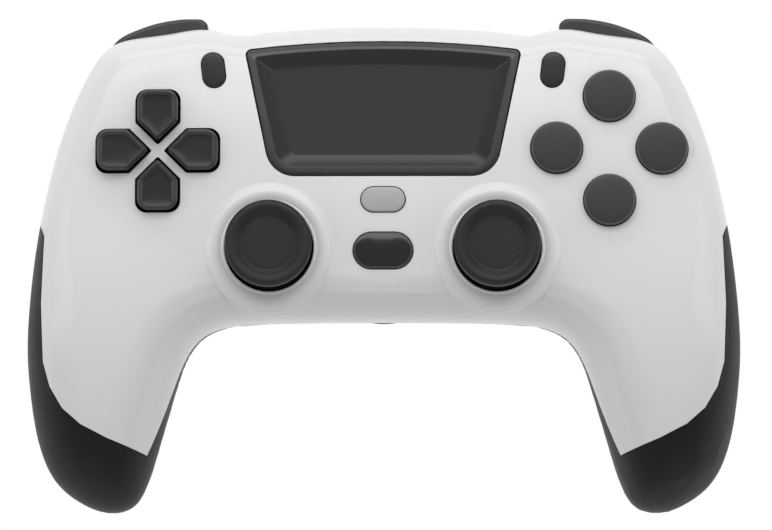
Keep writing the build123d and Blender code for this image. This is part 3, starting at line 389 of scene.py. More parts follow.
def smooth_copy(node, material, bevel=0.0):
    piece = frame["nodes"][node].copy()
    piece.data = piece.data.copy()
    piece.name = node + "_moulding"
    bpy.context.scene.collection.objects.link(piece)
    piece.data.materials.clear()
    edit(piece)
    bpy.ops.mesh.select_all(action="SELECT")
    bpy.ops.mesh.remove_doubles(threshold=merge_distance)
    if bevel:
        bpy.ops.mesh.dissolve_limited(angle_limit=flat_angle)
    leave()
    if bevel:
        edge = piece.modifiers.new("moulded_edge", "BEVEL")
        edge.width = bevel * mm
        edge.segments = 2
        edge.limit_method = "ANGLE"
        edge.angle_limit = math.radians(bevel_degrees)
        edge.use_clamp_overlap = True
        apply_all(piece)
    smooth(piece, sharp_degrees)
    even = piece.modifiers.new("even_normals", "WEIGHTED_NORMAL")
    even.mode = "FACE_AREA"
    even.weight = 100
    even.keep_sharp = True
    apply_all(piece)
    hand_over(piece, node, material)
    print(piece.name, "faces:", len(piece.data.polygons))
    return piece


# %% [markdown]
# ## Height of the face
# On the real controller the white face is one smooth surface. On the copy, long thin triangles
# run from hole to hole, and shading averaged from them shows as streaks. Remeshing would blur
# the edges of the holes. Instead each point is told which way the true surface faces, which
# needs the formula that the face was drawn with: it falls to the top edge, to the handles and
# to the sides.

# %% Formula of the face
half_width = 80.0
half_length = 54.7
face_top = 46.0
side_drop = 4.0
top_edge_drop = 3.6
handle_drop = 16.8


def drop_at(y):
    return top_edge_drop if y > 0 else handle_drop


def face_height(x, y):
    """Height of the drawn face before its sides round over, in millimetres."""
    return (face_top - drop_at(y) * (y / half_length) ** 2
            - side_drop * (abs(x) / half_width) ** 3)


def face_slope(x, y):
    """How fast the height changes along x and along y."""
    return (-3 * side_drop * x * abs(x) / half_width ** 3,
            -2 * drop_at(y) * y / half_length ** 2)


print("height at the middle and at a handle:", face_height(0, 0), round(face_height(60, -50), 2))

# %% [markdown]
# ## Normals of the rings round the sticks
# Each stick stands in a turned ring with a rounded lip and a wide rounded shoulder. A turned
# shape has exact normals: on an arc they point away from the arc's centre. Each of the two arcs
# is known from three points of the drawn profile, as distances from the stick and heights.

# %% Arcs of a ring
lip_points = (9.9, 46.15), (10.2, 46.48), (10.6, 46.3)
shoulder_points = (10.6, 46.3), (12.3, 46.75), (14.6, 45.2)
ring_inner, ring_outer = 9.8, 14.7
on_arc = 0.03
ring_lean = math.radians(35)
sticks = [middle_of("left_stick_cap"), middle_of("right_stick_cap")]


def arc_centre(p, q, r):
    """Centre and radius of the circle through three points."""
    ax, ay = q[0] - p[0], q[1] - p[1]
    bx, by = r[0] - p[0], r[1] - p[1]
    twice = 2 * (ax * by - ay * bx)
    ux = (by * (ax * ax + ay * ay) - ay * (bx * bx + by * by)) / twice
    uy = (ax * (bx * bx + by * by) - bx * (ax * ax + ay * ay)) / twice
    return p[0] + ux, p[1] + uy, math.hypot(ux, uy)


ring_arcs = [arc_centre(*lip_points), arc_centre(*shoulder_points)]


def ring_normal(place, lean):
    """Normal on a ring round a stick, near the lean of its face, or None off the rings."""
    for x, y in sticks:
        away = math.hypot(place.x - x, place.y - y)
        if not ring_inner < away < ring_outer:
            continue
        for centre, height, radius in ring_arcs:
            out, up = away - centre, place.z - height
            if abs(math.hypot(out, up) - radius) < on_arc:
                share = out / away
                normal = Vector(((place.x - x) * share, (place.y - y) * share, up)).normalized()
                if normal.angle(lean, 0.0) < ring_lean:
                    return normal
    return None


print("arc radii:", [round(radius, 2) for _, _, radius in ring_arcs])

# %% [markdown]
# ## Fit the slope of the face
# Near its border the face rounds over, and there the formula alone is not enough. What is left
# over after the formula is fitted round each point with a small curved patch, z = a + bx + cy +
# dx2 + exy + fy2, near points counting most. The fit fades in only where something is left
# over, so the open face keeps its exact slope.

# %% Fitted normals
patch_reach, patch_blur = 6.0, 2.2
patch_points = 24
far_weight = 0.0001
patch_calm = numpy.diag([0.0, 0.002, 0.002, 0.02, 0.02, 0.02])
fade_from, fade_over = 0.02, 0.1


def fitted_normals(points):
    """Normals of a height field at its points, each from a weighted fit of a curved patch."""
    tree = kdtree.KDTree(len(points))
    for number, point in enumerate(points):
        tree.insert((point.x, point.y, 0), number)
    tree.balance()
    rest = [point.z - face_height(point.x, point.y) for point in points]
    normals = []
    for point, own in zip(points, rest):
        near = tree.find_range((point.x, point.y, 0), patch_reach)
        if len(near) < patch_points:
            near = tree.find_n((point.x, point.y, 0), patch_points)
        dx = numpy.array([place[0] - point.x for place, _, _ in near])
        dy = numpy.array([place[1] - point.y for place, _, _ in near])
        dz = numpy.array([rest[number] for _, number, _ in near])
        weight = numpy.exp(-(dx * dx + dy * dy) / (2 * patch_blur * patch_blur)) + far_weight
        terms = numpy.stack([numpy.ones_like(dx), dx, dy, dx * dx, dx * dy, dy * dy])
        fit = numpy.linalg.solve((terms * weight) @ terms.T + patch_calm, (terms * weight) @ dz)
        across, along = face_slope(point.x, point.y)
        share = min(max((abs(own) - fade_from) / fade_over, 0.0), 1.0)
        slope = Vector((-across - share * fit[1], -along - share * fit[2], 1.0))
        normals.append(slope.normalized())
    return normals


# %% [markdown]
# ## Give the normals to the face
# Only faces that look up with nothing over them belong to the face, and a short ray upwards
# finds them. The walls of the holes and the inside keep their own normals. Custom split normals
# change the shading alone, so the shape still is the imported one.

# %% Even the face
face_up = 0.45
ray_lift = 0.02 * mm
ring_foot = 14.55
near_face = 0.03
fit_lean = math.radians(30)


def even_face(piece):
    """Give the corners on the face the fitted normals, and those on the rings their own."""
    mesh = piece.data
    up = Vector((0, 0, 1))
    open_faces = []
    for face in mesh.polygons:
        start = face.center + face.normal * ray_lift
        if face.normal.z > face_up and not piece.ray_cast(start, up)[0]:
            open_faces.append(face)
    members = set()
    for face in open_faces:
        middle = face.center / mm
        off_ring = min(math.hypot(middle.x - x, middle.y - y) for x, y in sticks) > ring_foot
        if off_ring or abs(middle.z - face_height(middle.x, middle.y)) < near_face:
            members.update(face.vertices)
    members = sorted(members)
    fitted = dict(zip(members, fitted_normals([mesh.vertices[v].co / mm for v in members])))
    normals = [Vector(corner.vector) for corner in mesh.corner_normals]
    changed = 0
    for face in open_faces:
        for corner in face.loop_indices:
            vertex = mesh.loops[corner].vertex_index
            target = ring_normal(mesh.vertices[vertex].co / mm, face.normal)
            if target is None and vertex in fitted:
                if fitted[vertex].angle(face.normal, 0.0) < fit_lean:
                    target = fitted[vertex]
            if target is not None:
                normals[corner] = target
                changed += 1
    mesh.normals_split_custom_set(normals)
    print(piece.name, "corners evened:", changed, "of", len(normals))


# %% [markdown]
# ## Both shells
# The front shell is the white face with its sides, and the rear shell is the black back with
# the handles' outer sides. Their edges are already rounded in the solids, so they need no bevel.

# %% Copies of the shells
front = smooth_copy("front_shell", white_shell)
even_face(front)
smooth_copy("rear_shell", black_grip)

# %% [markdown]
# ## Bumpers and triggers
# The four shoulder pieces are small mouldings with clear edges, and light runs along them. The
# solids have sharp edges there, so the copies get a bevel, a little wider on the triggers.

# %% Copies of the shoulder pieces
bumper_bevel, trigger_bevel = 0.35, 0.5
bumpers, triggers = {}, {}
for side in ("left", "right"):
    bumpers[side] = smooth_copy(side + "_bumper", shoulder_black, bumper_bevel)
    triggers[side] = smooth_copy(side + "_trigger", shoulder_black, trigger_bevel)

# %% [markdown]
# ## Turned shapes
# Caps and round buttons are parts of revolution. They could be spun from a drawn line, but
# extruding one ring of edges from height to height, and resizing it each time, is what one
# would do by hand, and it keeps the points of every ring in line. The first and the last ring
# are very small, and each is drawn together into one point, so the pole is closed.

# %% Turn a profile by extruding rings
pole = 0.05
turned_degrees = 60


def turned(name, profile, x, y, steps=96):
    """Extrude a ring through (radius, height) points and close it at both poles."""
    deselect()
    radius, height = profile[0]
    bpy.ops.mesh.primitive_circle_add(vertices=steps, radius=radius * mm,
                                      location=(0, 0, height * mm))
    piece = bpy.context.object
    piece.name = name
    settle(piece)
    edit(piece)
    bpy.ops.mesh.select_mode(type="EDGE")
    bpy.ops.mesh.select_all(action="SELECT")
    for (r0, z0), (r1, z1) in zip(profile, profile[1:]):
        rise = {"value": (0, 0, (z1 - z0) * mm)}
        bpy.ops.mesh.extrude_region_move(TRANSFORM_OT_translate=rise)
        bpy.ops.transform.resize(value=(r1 / r0, r1 / r0, 1), center_override=(0, 0, z1 * mm))
    bpy.ops.mesh.merge(type="COLLAPSE")
    leave()
    first = {point.index for point in piece.data.vertices
             if math.hypot(point.co.x, point.co.y) < 2 * radius * mm
             and abs(point.co.z - height * mm) < merge_distance}
    select_points(piece, first)
    edit(piece)
    bpy.ops.mesh.select_mode(type="VERT")
    bpy.ops.mesh.merge(type="COLLAPSE")
    leave()
    face_outwards(piece)
    return moved(piece, x, y)


def round_arc(radius, height, size, start, stop, steps):
    """Points of an arc about (radius, height); 0 degrees points outwards and 90 up."""
    angles = [math.radians(start + (stop - start) * i / steps) for i in range(steps + 1)]
    return [(radius + size * math.cos(a), height + size * math.sin(a)) for a in angles]


# %% [markdown]
# ## Profile of a stick cap
# A thumb stick's cap has a dome-shaped skirt that hides the mechanism, a stem, and a head with
# a rounded rim, a dip, a low ridge and a flat disc for the thumb. The skirt is a sphere round
# the point that the stick leans about, so it stays close to its opening at every lean.

# %% Cap profile, in millimetres
pivot_height = 33.0
skirt_inner, skirt_outer = 11.4, 12.4
skirt_low = 33.5  # degrees above the level of the pivot
bore, bore_top, bore_low = 1.75, 50.15, 44.27
stem = 3.5
cap_profile = [(pole, bore_top), (bore, bore_top), (bore, bore_low)]
cap_profile += round_arc(0, pivot_height, skirt_inner, 80, skirt_low, 12)
cap_profile += round_arc(0, pivot_height, skirt_outer, skirt_low, 73, 12)
cap_profile += [(stem, 45.3), (stem, 50.9)]
cap_profile += round_arc(4.6, 50.9, 1.1, 180, 90, 5)[1:]     # from the stem to the head
cap_profile += [(7.0, 52.05)]
cap_profile += round_arc(8.4, 53.25, 1.2, -90, 0, 6)         # low side of the rim
cap_profile += [(9.6, 54.3)]
cap_profile += round_arc(8.35, 54.95, 1.25, 5, 90, 7)        # high side of the rim
cap_profile += [(7.9, 56.12), (7.4, 55.9), (6.95, 55.6), (6.6, 55.32), (6.3, 55.1)]
cap_profile += [(6.08, 54.98), (5.88, 54.92), (5.72, 54.92), (5.55, 54.97), (5.3, 55.0)]
cap_profile += [(4.2, 55.04), (2.8, 55.08), (1.4, 55.1), (pole, 55.1)]
print("cap profile points:", len(cap_profile))

# %% [markdown]
# ## Both caps
# The two caps are the same moulding. The disc in the middle has its own coarse grain, so the
# faces on top and near the axis get the second finish.

# %% Left and right cap
disc_radius, disc_low = 5.8, 54.5
for side, (stick_x, stick_y) in zip(("left", "right"), sticks):
    cap = turned(side + "_thumb_cap", cap_profile, stick_x, stick_y)
    smooth(cap, turned_degrees)
    hand_over(cap, side + "_stick_cap", cap_rubber, cap_disc)
    for face in cap.data.polygons:
        place = face.center / mm
        away = math.hypot(place.x - stick_x, place.y - stick_y)
        if place.z > disc_low and away < disc_radius:
            face.material_index = 1
    print(cap.name, "faces:", len(cap.data.polygons))

# %% [markdown]
# ## Outlines with round corners
# Keys, pills and covers are mouldings whose outline is offset inwards as the edge rounds over.
# An inset operator would do this on one flat shape, but it pinches the points in a round
# corner. A small formula moves each side inwards and rounds each corner again, always with the
# same number of points, so that rings of different insets can be joined point to point.

# %% Inset outline
least_radius = 0.08


def outline(corners, inset, steps=8):
    """Points of a convex outline moved inwards, each corner (x, y, radius) rounded."""
    lines = []
    for (x0, y0, _), (x1, y1, _) in zip(corners, corners[1:] + corners[:1]):
        length = math.hypot(x1 - x0, y1 - y0)
        ux, uy = (x1 - x0) / length, (y1 - y0) / length
        lines.append((x0 - uy * inset, y0 + ux * inset, ux, uy))
    points = []
    for number, (_, _, radius) in enumerate(corners):
        px, py, ux, uy = lines[number - 1]
        qx, qy, vx, vy = lines[number]
        turn = ux * vy - uy * vx
        along = ((qx - px) * vy - (qy - py) * vx) / turn
        angle = math.atan2(turn, ux * vx + uy * vy)
        size = max(radius - inset, least_radius)
        along -= size * math.tan(angle / 2)
        centre_x, centre_y = px + ux * along - uy * size, py + uy * along + ux * size
        for step in range(steps + 1):
            swing = angle * step / steps
            out_x = uy * math.cos(swing) + ux * math.sin(swing)
            out_y = uy * math.sin(swing) - ux * math.cos(swing)
            points.append((centre_x + out_x * size, centre_y + out_y * size))
    return points


# %% [markdown]
# ## A shape from rings
# By hand one would extrude an outline and pull each new ring of points into place. This helper
# does the same: it extrudes a regular prism, places the points of every ring, and closes both
# ends with a face. All the sides are even strips of quads, which shade well.

# %% Build from rings
key_degrees, pill_degrees = 50, 60


def ringed(name, rings):
    """Extrude a prism, place the points (x, y, z) of every ring, and close both ends."""
    deselect()
    count = len(rings[0])
    bpy.ops.mesh.primitive_circle_add(vertices=count, radius=mm)
    piece = bpy.context.object
    piece.name = name
    edit(piece)
    bpy.ops.mesh.select_mode(type="EDGE")
    bpy.ops.mesh.select_all(action="SELECT")
    for _ in rings[1:]:
        bpy.ops.mesh.extrude_region_move(TRANSFORM_OT_translate={"value": (0, 0, mm)})
    leave()
    points = piece.data.vertices
    level = [round(point.co.z / mm) for point in points]
    turns = [math.atan2(point.co.y, point.co.x) / (2 * math.pi) for point in points]
    spoke = [round((turn - turns[0]) * count) % count for turn in turns]
    for point, number, step in zip(points, level, spoke):
        point.co = Vector(rings[number][step]) * mm
    for end in (0, len(rings) - 1):
        select_points(piece, {index for index, number in enumerate(level) if number == end})
        edit(piece)
        bpy.ops.mesh.edge_face_add()
        leave()
    face_outwards(piece)
    return piece


# %% [markdown]
# ## Skin of the triggers
# Toward the grip a trigger narrows faster than its hollow does, which leaves a hole at its outer
# corner. A real trigger has a wall there. A thin skin just behind the face closes the hole. It
# could be bridged by hand, but rays cast at the trigger and at the bumper above it give its
# shape at each station, so it follows them if they change.

# %% Skins
skin_reach = (-4.0, 9.2)  # from the trigger's middle outwards
skin_z = (4.5, 21.9)
skin_stations, skin_heights = 25, 15
skin_wall, skin_sink = 0.8, 0.03
trigger_setback = 0.9
cast_from = 100.0


def front_of(piece, x, z):
    """Farthest y of a piece at a place across it, in millimetres."""
    _, place, _, _ = piece.ray_cast(Vector((x, cast_from, z)) * mm, Vector((0, -1, 0)))
    return place.y / mm


for side, way in (("left", -1), ("right", 1)):
    trigger_x, _ = middle_of(side + "_trigger")
    bumper_z = sum(end[2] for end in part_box(side + "_bumper")) / 2 / mm
    heights = numpy.linspace(*skin_z, skin_heights)
    section = [front_of(triggers[side], trigger_x, z) for z in heights]
    rings = []
    for away in numpy.linspace(*skin_reach, skin_stations):
        x = trigger_x + way * away
        limit = front_of(bumpers[side], x, bumper_z) - trigger_setback
        face = [min(y, limit) - skin_sink for y in section]
        outer = [(x, y, z) for y, z in zip(face, heights)]
        inner = [(x, y - skin_wall, z) for y, z in zip(face, heights)]
        rings.append(outer + inner[::-1])
    skin = ringed(side + "_trigger_skin", rings)
    smooth(skin, sharp_degrees)
    ride_along(skin, side + "_trigger", shoulder_black)
    print(skin.name, "faces:", len(skin.data.polygons))

# %% [markdown]
# ## One key of the direction pad
# The four keys are home-plate shapes with softly rounded rims and a shallow hollow for the
# thumb. Bevelling a prism would round the rim but leave the top flat. With rings, the wall, the
# rim and the hollow are one run of insets and heights, and the last rings shrink towards the
# middle of the key.

# %% Rings of a key
pad_x, pad_y = middle_of("dpad")
pad_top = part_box("dpad")[1][2] / mm
key_tip, key_half, key_reach = 1.9, 4.6, 13.45
key_bulge = 0.12
tip_corner, neck_corner, end_corner, bulge_corner = 1.0, 1.8, 2.7, 6.0
key_corners = [(key_tip, 0, tip_corner), (key_tip + key_half, -key_half, neck_corner),
               (key_reach, -key_half, end_corner), (key_reach + key_bulge, 0, bulge_corner),
               (key_reach, key_half, end_corner), (key_tip + key_half, key_half, neck_corner)]
key_profile = [(0.0, -7.9), (0.0, -4.6), (0.12, -4.0), (0.12, -1.5), (0.14, -1.0),
               (0.18, -0.66), (0.27, -0.36), (0.4, -0.14), (0.56, -0.03), (0.74, 0.0),
               (0.9, -0.03), (1.04, -0.12), (1.2, -0.27), (1.38, -0.37), (1.6, -0.42)]
hollow_middle = (key_tip + key_reach) / 2 + 0.6
hollow_profile = [(0.8, -0.45), (0.5, -0.48), (0.2, -0.49)]
key_rings = [[(x, y, pad_top + z) for x, y in outline(key_corners, inset)]
             for inset, z in key_profile]
last_ring = key_rings[-1]
for size, z in hollow_profile:
    key_rings.append([(hollow_middle + (x - hollow_middle) * size, y * size, pad_top + z)
                      for x, y, _ in last_ring])
print("key rings:", len(key_rings), "points each:", len(last_ring))

# %% [markdown]
# ## Four keys on their disc
# On the real part the four keys are one moulding on a common disc under the shell. One key's rings
# are built four times, each a quarter turn on, and joined with the disc. The rounded rim gets a
# glossier finish that is painted lighter, a painted highlight where the rim faces up, and the
# walls and the hollow the matt one.

# %% The direction pad
pad_disc_radius, pad_disc_low, pad_disc_high = 12.6, 38.8, 40.0
rim_depth, rim_up = 0.34, 0.05
pieces = [moved(ringed("pad_key_%d" % number, key_rings), pad_x, pad_y, 90 * number)
          for number in range(4)]
disc_profile = [(pole, pad_disc_low), (pad_disc_radius, pad_disc_low),
                (pad_disc_radius, pad_disc_high), (pole, pad_disc_high)]
pieces.append(turned("pad_disc", disc_profile, pad_x, pad_y, steps=64))
choose(*pieces)
bpy.ops.object.join()
pad = bpy.context.object
pad.name = "direction_pad"
smooth(pad, key_degrees)
hand_over(pad, "dpad", key_black, key_rim_gloss_and_highlight)
# painted highlight: upward faces on the rim get the lighter rim finish
for face in pad.data.polygons:
    if face.center.z / mm > pad_top - rim_depth and face.normal.z > rim_up:
        face.material_index = 1
print("direction pad faces:", len(pad.data.polygons))

# %% [markdown]
# ## Face buttons
# The four buttons are low domes with a rounded edge and a pocket underneath for the rubber dome.
# A cylinder with a bevel would have a flat top, and a flat top reflects one flat tone. So each is
# turned from one profile. Its rounded edge is a little glossier than the top, and it is painted
# lighter, partly for wear and partly as a painted highlight.

# %% Four buttons
pocket_radius, pocket_top, button_low, button_radius = 3.1, 40.8, 39.0, 5.7
edge_band, edge_depth = (5.2, 5.66), 0.8
pocket = [(pole, pocket_top), (pocket_radius, pocket_top), (pocket_radius, button_low),
          (button_radius, button_low)]
dome = [(button_radius, -0.92), (5.68, -0.78), (5.62, -0.66), (5.53, -0.55), (5.42, -0.46),
        (5.28, -0.39), (5.12, -0.34), (4.9, -0.29), (4.4, -0.21), (3.6, -0.14), (2.4, -0.062),
        (1.2, -0.016), (pole, 0.0)]
for node in ("face_button_right", "face_button_top", "face_button_left", "face_button_bottom"):
    x, y = middle_of(node)
    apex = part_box(node)[1][2] / mm
    profile = pocket + [(radius, apex + z) for radius, z in dome]
    button = turned(node + "_moulding", profile, x, y)
    smooth(button, turned_degrees)
    hand_over(button, node, button_grey, button_edge_wear_and_highlight)
    # painted highlight: faces in the band round the edge get the lighter edge finish
    for face in button.data.polygons:
        place = face.center / mm
        away = math.hypot(place.x - x, place.y - y)
        if edge_band[0] < away < edge_band[1] and place.z > apex - edge_depth:
            face.material_index = 1
    print(button.name, "faces:", len(button.data.polygons))

# %% [markdown]
# ## Pills
# A pill button is a slot shape with a flange under the shell, a rounded edge and a very slight
# crown. A stretched capsule would have the wrong ends, so rings of one outline are used again.
# The crown is what makes the glossy one show a band of light instead of one flat tone.

# %% A pill from rings
flange_reach, flange_height = 0.7, 1.0
edge_rise = 0.05
pill_profile = [(0.0, -0.42), (0.03, -0.26), (0.1, -0.13), (0.2, -0.05), (0.34, 0.0),
                (0.6, edge_rise)]
crown_sizes = (0.8, 0.55, 0.3, 0.1)
straight_end = 0.02  # keeps a short straight side between the two corners of an end
# depths under the rim of the band that is painted lighter, a painted highlight on the rounded edge
painted_highlight_band = (0.3, 0.02)


def pill(node, half_length, half_width, degrees, crown, *materials):
    low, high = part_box(node)
    x, y = middle_of(node)
    foot, rim = low[2] / mm, high[2] / mm - crown
    corner = half_width - straight_end
    corners = [(-half_length, -half_width, corner), (half_length, -half_width, corner),
               (half_length, half_width, corner), (-half_length, half_width, corner)]
    steps = [(-flange_reach, foot), (-flange_reach, foot + flange_height),
             (0.0, foot + flange_height)]
    steps += [(inset, rim + z) for inset, z in pill_profile]
    rings = [[(px, py, z) for px, py in outline(corners, inset)] for inset, z in steps]
    last_ring = rings[-1]
    for size in crown_sizes:
        rise = edge_rise + (crown - edge_rise) * (1 - size * size)
        rings.append([(px * size, py * size, rim + rise) for px, py, _ in last_ring])
    piece = moved(ringed(node + "_moulding", rings), x, y, degrees)
    smooth(piece, pill_degrees)
    hand_over(piece, node, *materials)
    # painted highlight: the band just under the rim gets the lighter edge finish
    if len(materials) > 1:
        for face in piece.data.polygons:
            if rim - painted_highlight_band[0] < face.center.z / mm < rim - painted_highlight_band[1]:
                face.material_index = 1
    print(piece.name, "faces:", len(piece.data.polygons))


# %% [markdown]
# ## The four pills
# The large one in the middle is polished, and its rounded edge is painted lighter as a painted
# highlight. The light grey one over it is matt. The two narrow ones beside the touchpad stand
# nearly upright and lean apart a little.

# %% Place the pills
menu_lean = 7
pill("home_button", 6.55, 4.0, 0, 0.3, black_gloss, button_edge_wear_and_highlight)
pill("mode_button", 4.85, 2.75, 0, 0.2, pill_grey)
pill("left_menu_button", 3.9, 2.45, 90 + menu_lean, 0.15, black_satin)
pill("right_menu_button", 3.9, 2.45, 90 - menu_lean, 0.15, black_satin)

# %% [markdown]
# ## Outlines of the touchpad cover
# The cover is one moulding: a satin rim that lies flush with the face, a bevel that drops to the
# panel, and a finely grained panel. Insets of one outline would give an even bevel, but the real
# one is wider at the sides than at the top and the bottom. So the edge, the rim and the panel
# each have an outline of their own, with the same number of points. Their top sides are gently
# crowned.

# %% Edge, rim and panel
crown_shares = [(24, 0.385), (16, 0.727), (8, 0.932), (0, 1.0),
                (-8, 0.932), (-16, 0.727), (-24, 0.385)]
cover_low, cover_half = 18.25, 30.6
crown_corner = 40.0


def pad_outline(low_half, low_y, low_corner, top_half, top_y, top_corner, crown):
    """A trapezium with a crowned top side, as corners (x, y, radius)."""
    corners = [(-low_half, low_y, low_corner), (low_half, low_y, low_corner),
               (top_half, top_y, top_corner)]
    corners += [(x * top_half / cover_half, top_y + crown * share, crown_corner)
                for x, share in crown_shares]
    return corners + [(-top_half, top_y, top_corner)]


cover_edge = pad_outline(24.7, cover_low, 6.3, cover_half, 46.5, 1.2, 1.9)
rim_edge = pad_outline(23.1, 20.25, 4.3, 28.45, 44.75, 0.6, 1.75)
panel_edge = pad_outline(20.2, 23.1, 1.7, 25.0, 42.4, 0.5, 1.1)
print("corners of an outline:", len(cover_edge))

# %% [markdown]
# ## Rim and panel heights
# The rim has to lie flush with the shell, and near the top edge the face already rounds over.
# So the rim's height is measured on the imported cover, by casting rays down on it. The panel is
# flat and leans a little, so its height is a straight line in y.

# %% Heights and rings of the cover
panel_low_z, panel_fall, cover_length = 45.6, 2.4, 29.95
cast_above = 60


def rim_height(x, y):
    """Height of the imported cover's upper side, in millimetres."""
    solid = frame["nodes"]["touchpad_cover"]
    hit, place, _, _ = solid.ray_cast(Vector((x, y, cast_above)) * mm, Vector((0, 0, -1)))
    return place.z / mm if hit else face_height(x, y)


def panel_height(y):
    return panel_low_z - panel_fall * (y - cover_low) / cover_length


def rim_ring(corners, inset, drop, measured=0.0):
    """A ring below the rim; its height is read a little further in, off the cut edge."""
    heights = [rim_height(x, y) for x, y in outline(corners, max(inset, measured))]
    return [(x, y, z - drop) for (x, y), z in zip(outline(corners, inset), heights)]


def panel_ring(corners, inset, drop):
    return [(x, y, panel_height(y) - drop) for x, y in outline(corners, inset)]


print("rim at the middle of the low side:", round(rim_height(0, cover_low + 1), 2))

# %% [markdown]
# ## The touchpad cover
# From the outside in, the rings run up the wall, round the rim's outer edge, across the rim,
# over the top of the bevel, down the bevel and onto the panel. Each face then takes its finish
# from its depth under the rim and from how steep it is.

# %% Cover from rings
edge_read, rim_read = 0.3, -0.25
cover_rings = [panel_ring(cover_edge, 0.0, 3.4)]
cover_rings += [rim_ring(cover_edge, inset, drop, edge_read)
                for inset, drop in ((0.0, 0.28), (0.04, 0.14), (0.13, 0.04), (0.28, 0.0))]
cover_rings += [rim_ring(cover_edge, 0.8, 0.0), rim_ring(rim_edge, rim_read, 0.0)]
cover_rings += [rim_ring(rim_edge, inset, drop, rim_read)
                for inset, drop in ((-0.08, 0.03), (0.08, 0.11), (0.25, 0.22))]
cover_rings += [panel_ring(panel_edge, inset, drop)
                for inset, drop in ((-0.3, 1.56), (-0.12, 1.64), (0.05, 1.69), (0.25, 1.7))]
cover = ringed("touchpad_moulding", cover_rings)
smooth(cover, key_degrees)
hand_over(cover, "touchpad_cover", black_satin, bevel_black, panel_black)
rim_normal = Vector((0, 0.08, 1))
up_side, bevel_start, bevel_lean, panel_start = 0.3, 0.1, math.radians(8), 1.66
tally = [0, 0, 0]
for face in cover.data.polygons:
    if face.normal.z > up_side:
        drop = panel_height(face.center.y / mm) - face.center.z / mm
        steep = face.normal.angle(rim_normal, 0.0) > bevel_lean
        face.material_index = 2 if drop > panel_start else 1 if drop > bevel_start and steep else 0
        tally[face.material_index] += 1
print("touchpad faces by finish:", tally)

# %% [markdown]
# ## World
# The photograph is a product shot from straight above the controls, on pure white. A bright
# world would wash out the black parts, so the world that lights the scene is dim, and only the
# camera sees it white.

# %% White to the camera, dim to the rest
world_light = 0.35


def switch(nodes, links, mask, lit, seen, surface):
    """Use one shader where the mask is 0 and the other where it is 1."""
    swap = nodes.new("ShaderNodeMixShader")
    links.new(mask, swap.inputs[0])
    links.new(lit.outputs[0], swap.inputs[1])
    links.new(seen.outputs[0], swap.inputs[2])
    links.new(swap.outputs[0], surface)


world = bpy.data.worlds.new("studio")
bpy.context.scene.world = world
world.use_nodes = True
nodes, links = world.node_tree.nodes, world.node_tree.links
dim = nodes["Background"]
dim.inputs["Color"].default_value = (1, 1, 1, 1)
dim.inputs["Strength"].default_value = world_light
white = nodes.new("ShaderNodeBackground")
white.inputs["Strength"].default_value = 1.0
path = nodes.new("ShaderNodeLightPath")
switch(nodes, links, path.outputs["Is Camera Ray"], dim, white,
       nodes["World Output"].inputs["Surface"])
print("world strength:", world_light)

# %% [markdown]
# ## Lamps
# Point lamps would give hard shadows and small glints. Product shots use softboxes, so all the
# lamps are large areas: one over the controls, long strips behind and in front for the edges,
# and one on each side for the handles.

# %% Five area lamps
lamp_aim = Vector((0, 0, 0.03))


def lamp(name, place, size, power):
    light = bpy.data.lights.new(name, "AREA")
    light.shape = "RECTANGLE"
    light.size, light.size_y = size
    light.energy = power
    stand = bpy.data.objects.new(name, light)
    bpy.context.scene.collection.objects.link(stand)
    stand.location = place
    stand.rotation_euler = (stand.location - lamp_aim).to_track_quat("Z", "Y").to_euler()


lamp("top_softbox", (0.0, 0.5, 0.8), (0.9, 0.5), 3.6)
lamp("back_strip", (0.0, 0.95, 0.42), (1.3, 0.3), 2.2)
lamp("front_fill", (0.0, -0.95, 0.5), (1.3, 0.3), 0.9)
lamp("left_softbox", (-0.75, 0.05, 0.42), (0.35, 0.8), 0.9)
lamp("right_softbox", (0.75, 0.05, 0.42), (0.35, 0.8), 0.9)
print("lamps:", len(bpy.data.lights))

# %% [markdown]
# ## Floor
# The controller lies on white paper. Paper that only reflects would look grey, so it glows
# white for the camera and for rays that come off a glossy or clear surface. For all other
# rays it is plain paper, which lights the sides of the piece from below.

# %% White paper
floor_size = 4
paper_tone, paper_roughness = 0.9, 0.9


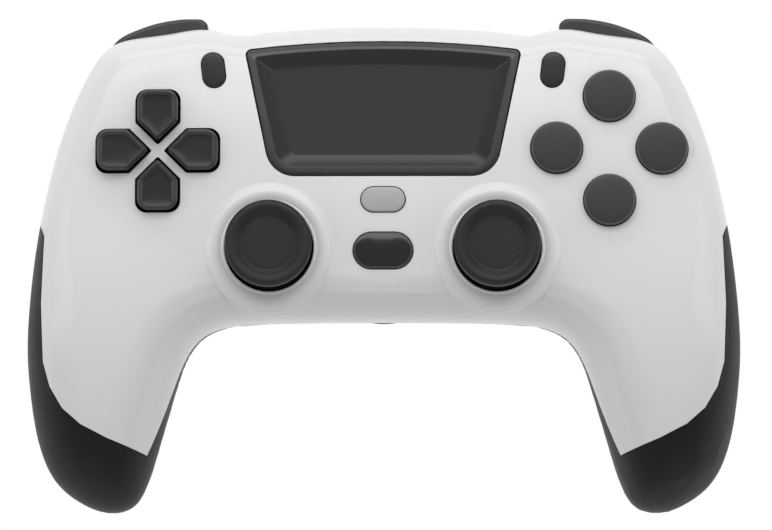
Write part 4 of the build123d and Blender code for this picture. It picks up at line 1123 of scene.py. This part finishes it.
def camera_or_gloss(nodes, links):
    """One for rays from the camera, and for those that came off a glossy or clear surface."""
    path = nodes.new("ShaderNodeLightPath")
    mask = path.outputs["Is Camera Ray"]
    for kind in ("Is Glossy Ray", "Is Transmission Ray"):
        either = nodes.new("ShaderNodeMath")
        either.operation = "MAXIMUM"
        links.new(mask, either.inputs[0])
        links.new(path.outputs[kind], either.inputs[1])
        mask = either.outputs[0]
    return mask


deselect()
bpy.ops.mesh.primitive_plane_add(size=floor_size, location=(0, 0, 0))
floor = bpy.context.object
floor.name = "floor"
paper = bpy.data.materials.new("white_paper")
paper.use_nodes = True
nodes, links = paper.node_tree.nodes, paper.node_tree.links
matt = nodes["Principled BSDF"]
matt.inputs["Base Color"].default_value = (*grey(paper_tone), 1)
matt.inputs["Roughness"].default_value = paper_roughness
glow = nodes.new("ShaderNodeEmission")
glow.inputs["Strength"].default_value = 1.0
switch(nodes, links, camera_or_gloss(nodes, links), matt, glow,
       nodes["Material Output"].inputs["Surface"])
floor.data.materials.append(paper)
print("floor:", floor_size, "m")

# %% [markdown]
# ## Camera
# The photograph was taken from nearly straight above. The lean of the camera shows in how far
# the tall caps stand off the middle of their rings, and a long lens keeps both handles the same
# size. The picture's width in pixels and the scale of a pixel at the face set the lens.

# %% Place the camera
elevation, yaw, distance = math.radians(84.0), math.radians(4.7), 1.6
picture_width, pixel = 772, 0.2238
aim = Vector((0.5, 0.1, 27.5)) * mm
sensor = 36
camera_data = bpy.data.cameras.new("camera")
camera = bpy.data.objects.new("camera", camera_data)
bpy.context.scene.collection.objects.link(camera)
camera_data.sensor_width = sensor
camera_data.lens = sensor * distance / (picture_width * pixel * mm)
camera_data.clip_start = 0.05
flat = math.cos(elevation)
away = Vector((flat * math.sin(yaw), -flat * math.cos(yaw), math.sin(elevation)))
across = Vector((0, 1, 0)).cross(away).normalized()
camera.location = aim + away * distance
camera.rotation_euler = Matrix((across, away.cross(across), away)).transposed().to_euler()
bpy.context.scene.camera = camera
print("lens:", round(camera_data.lens, 1), "mm")
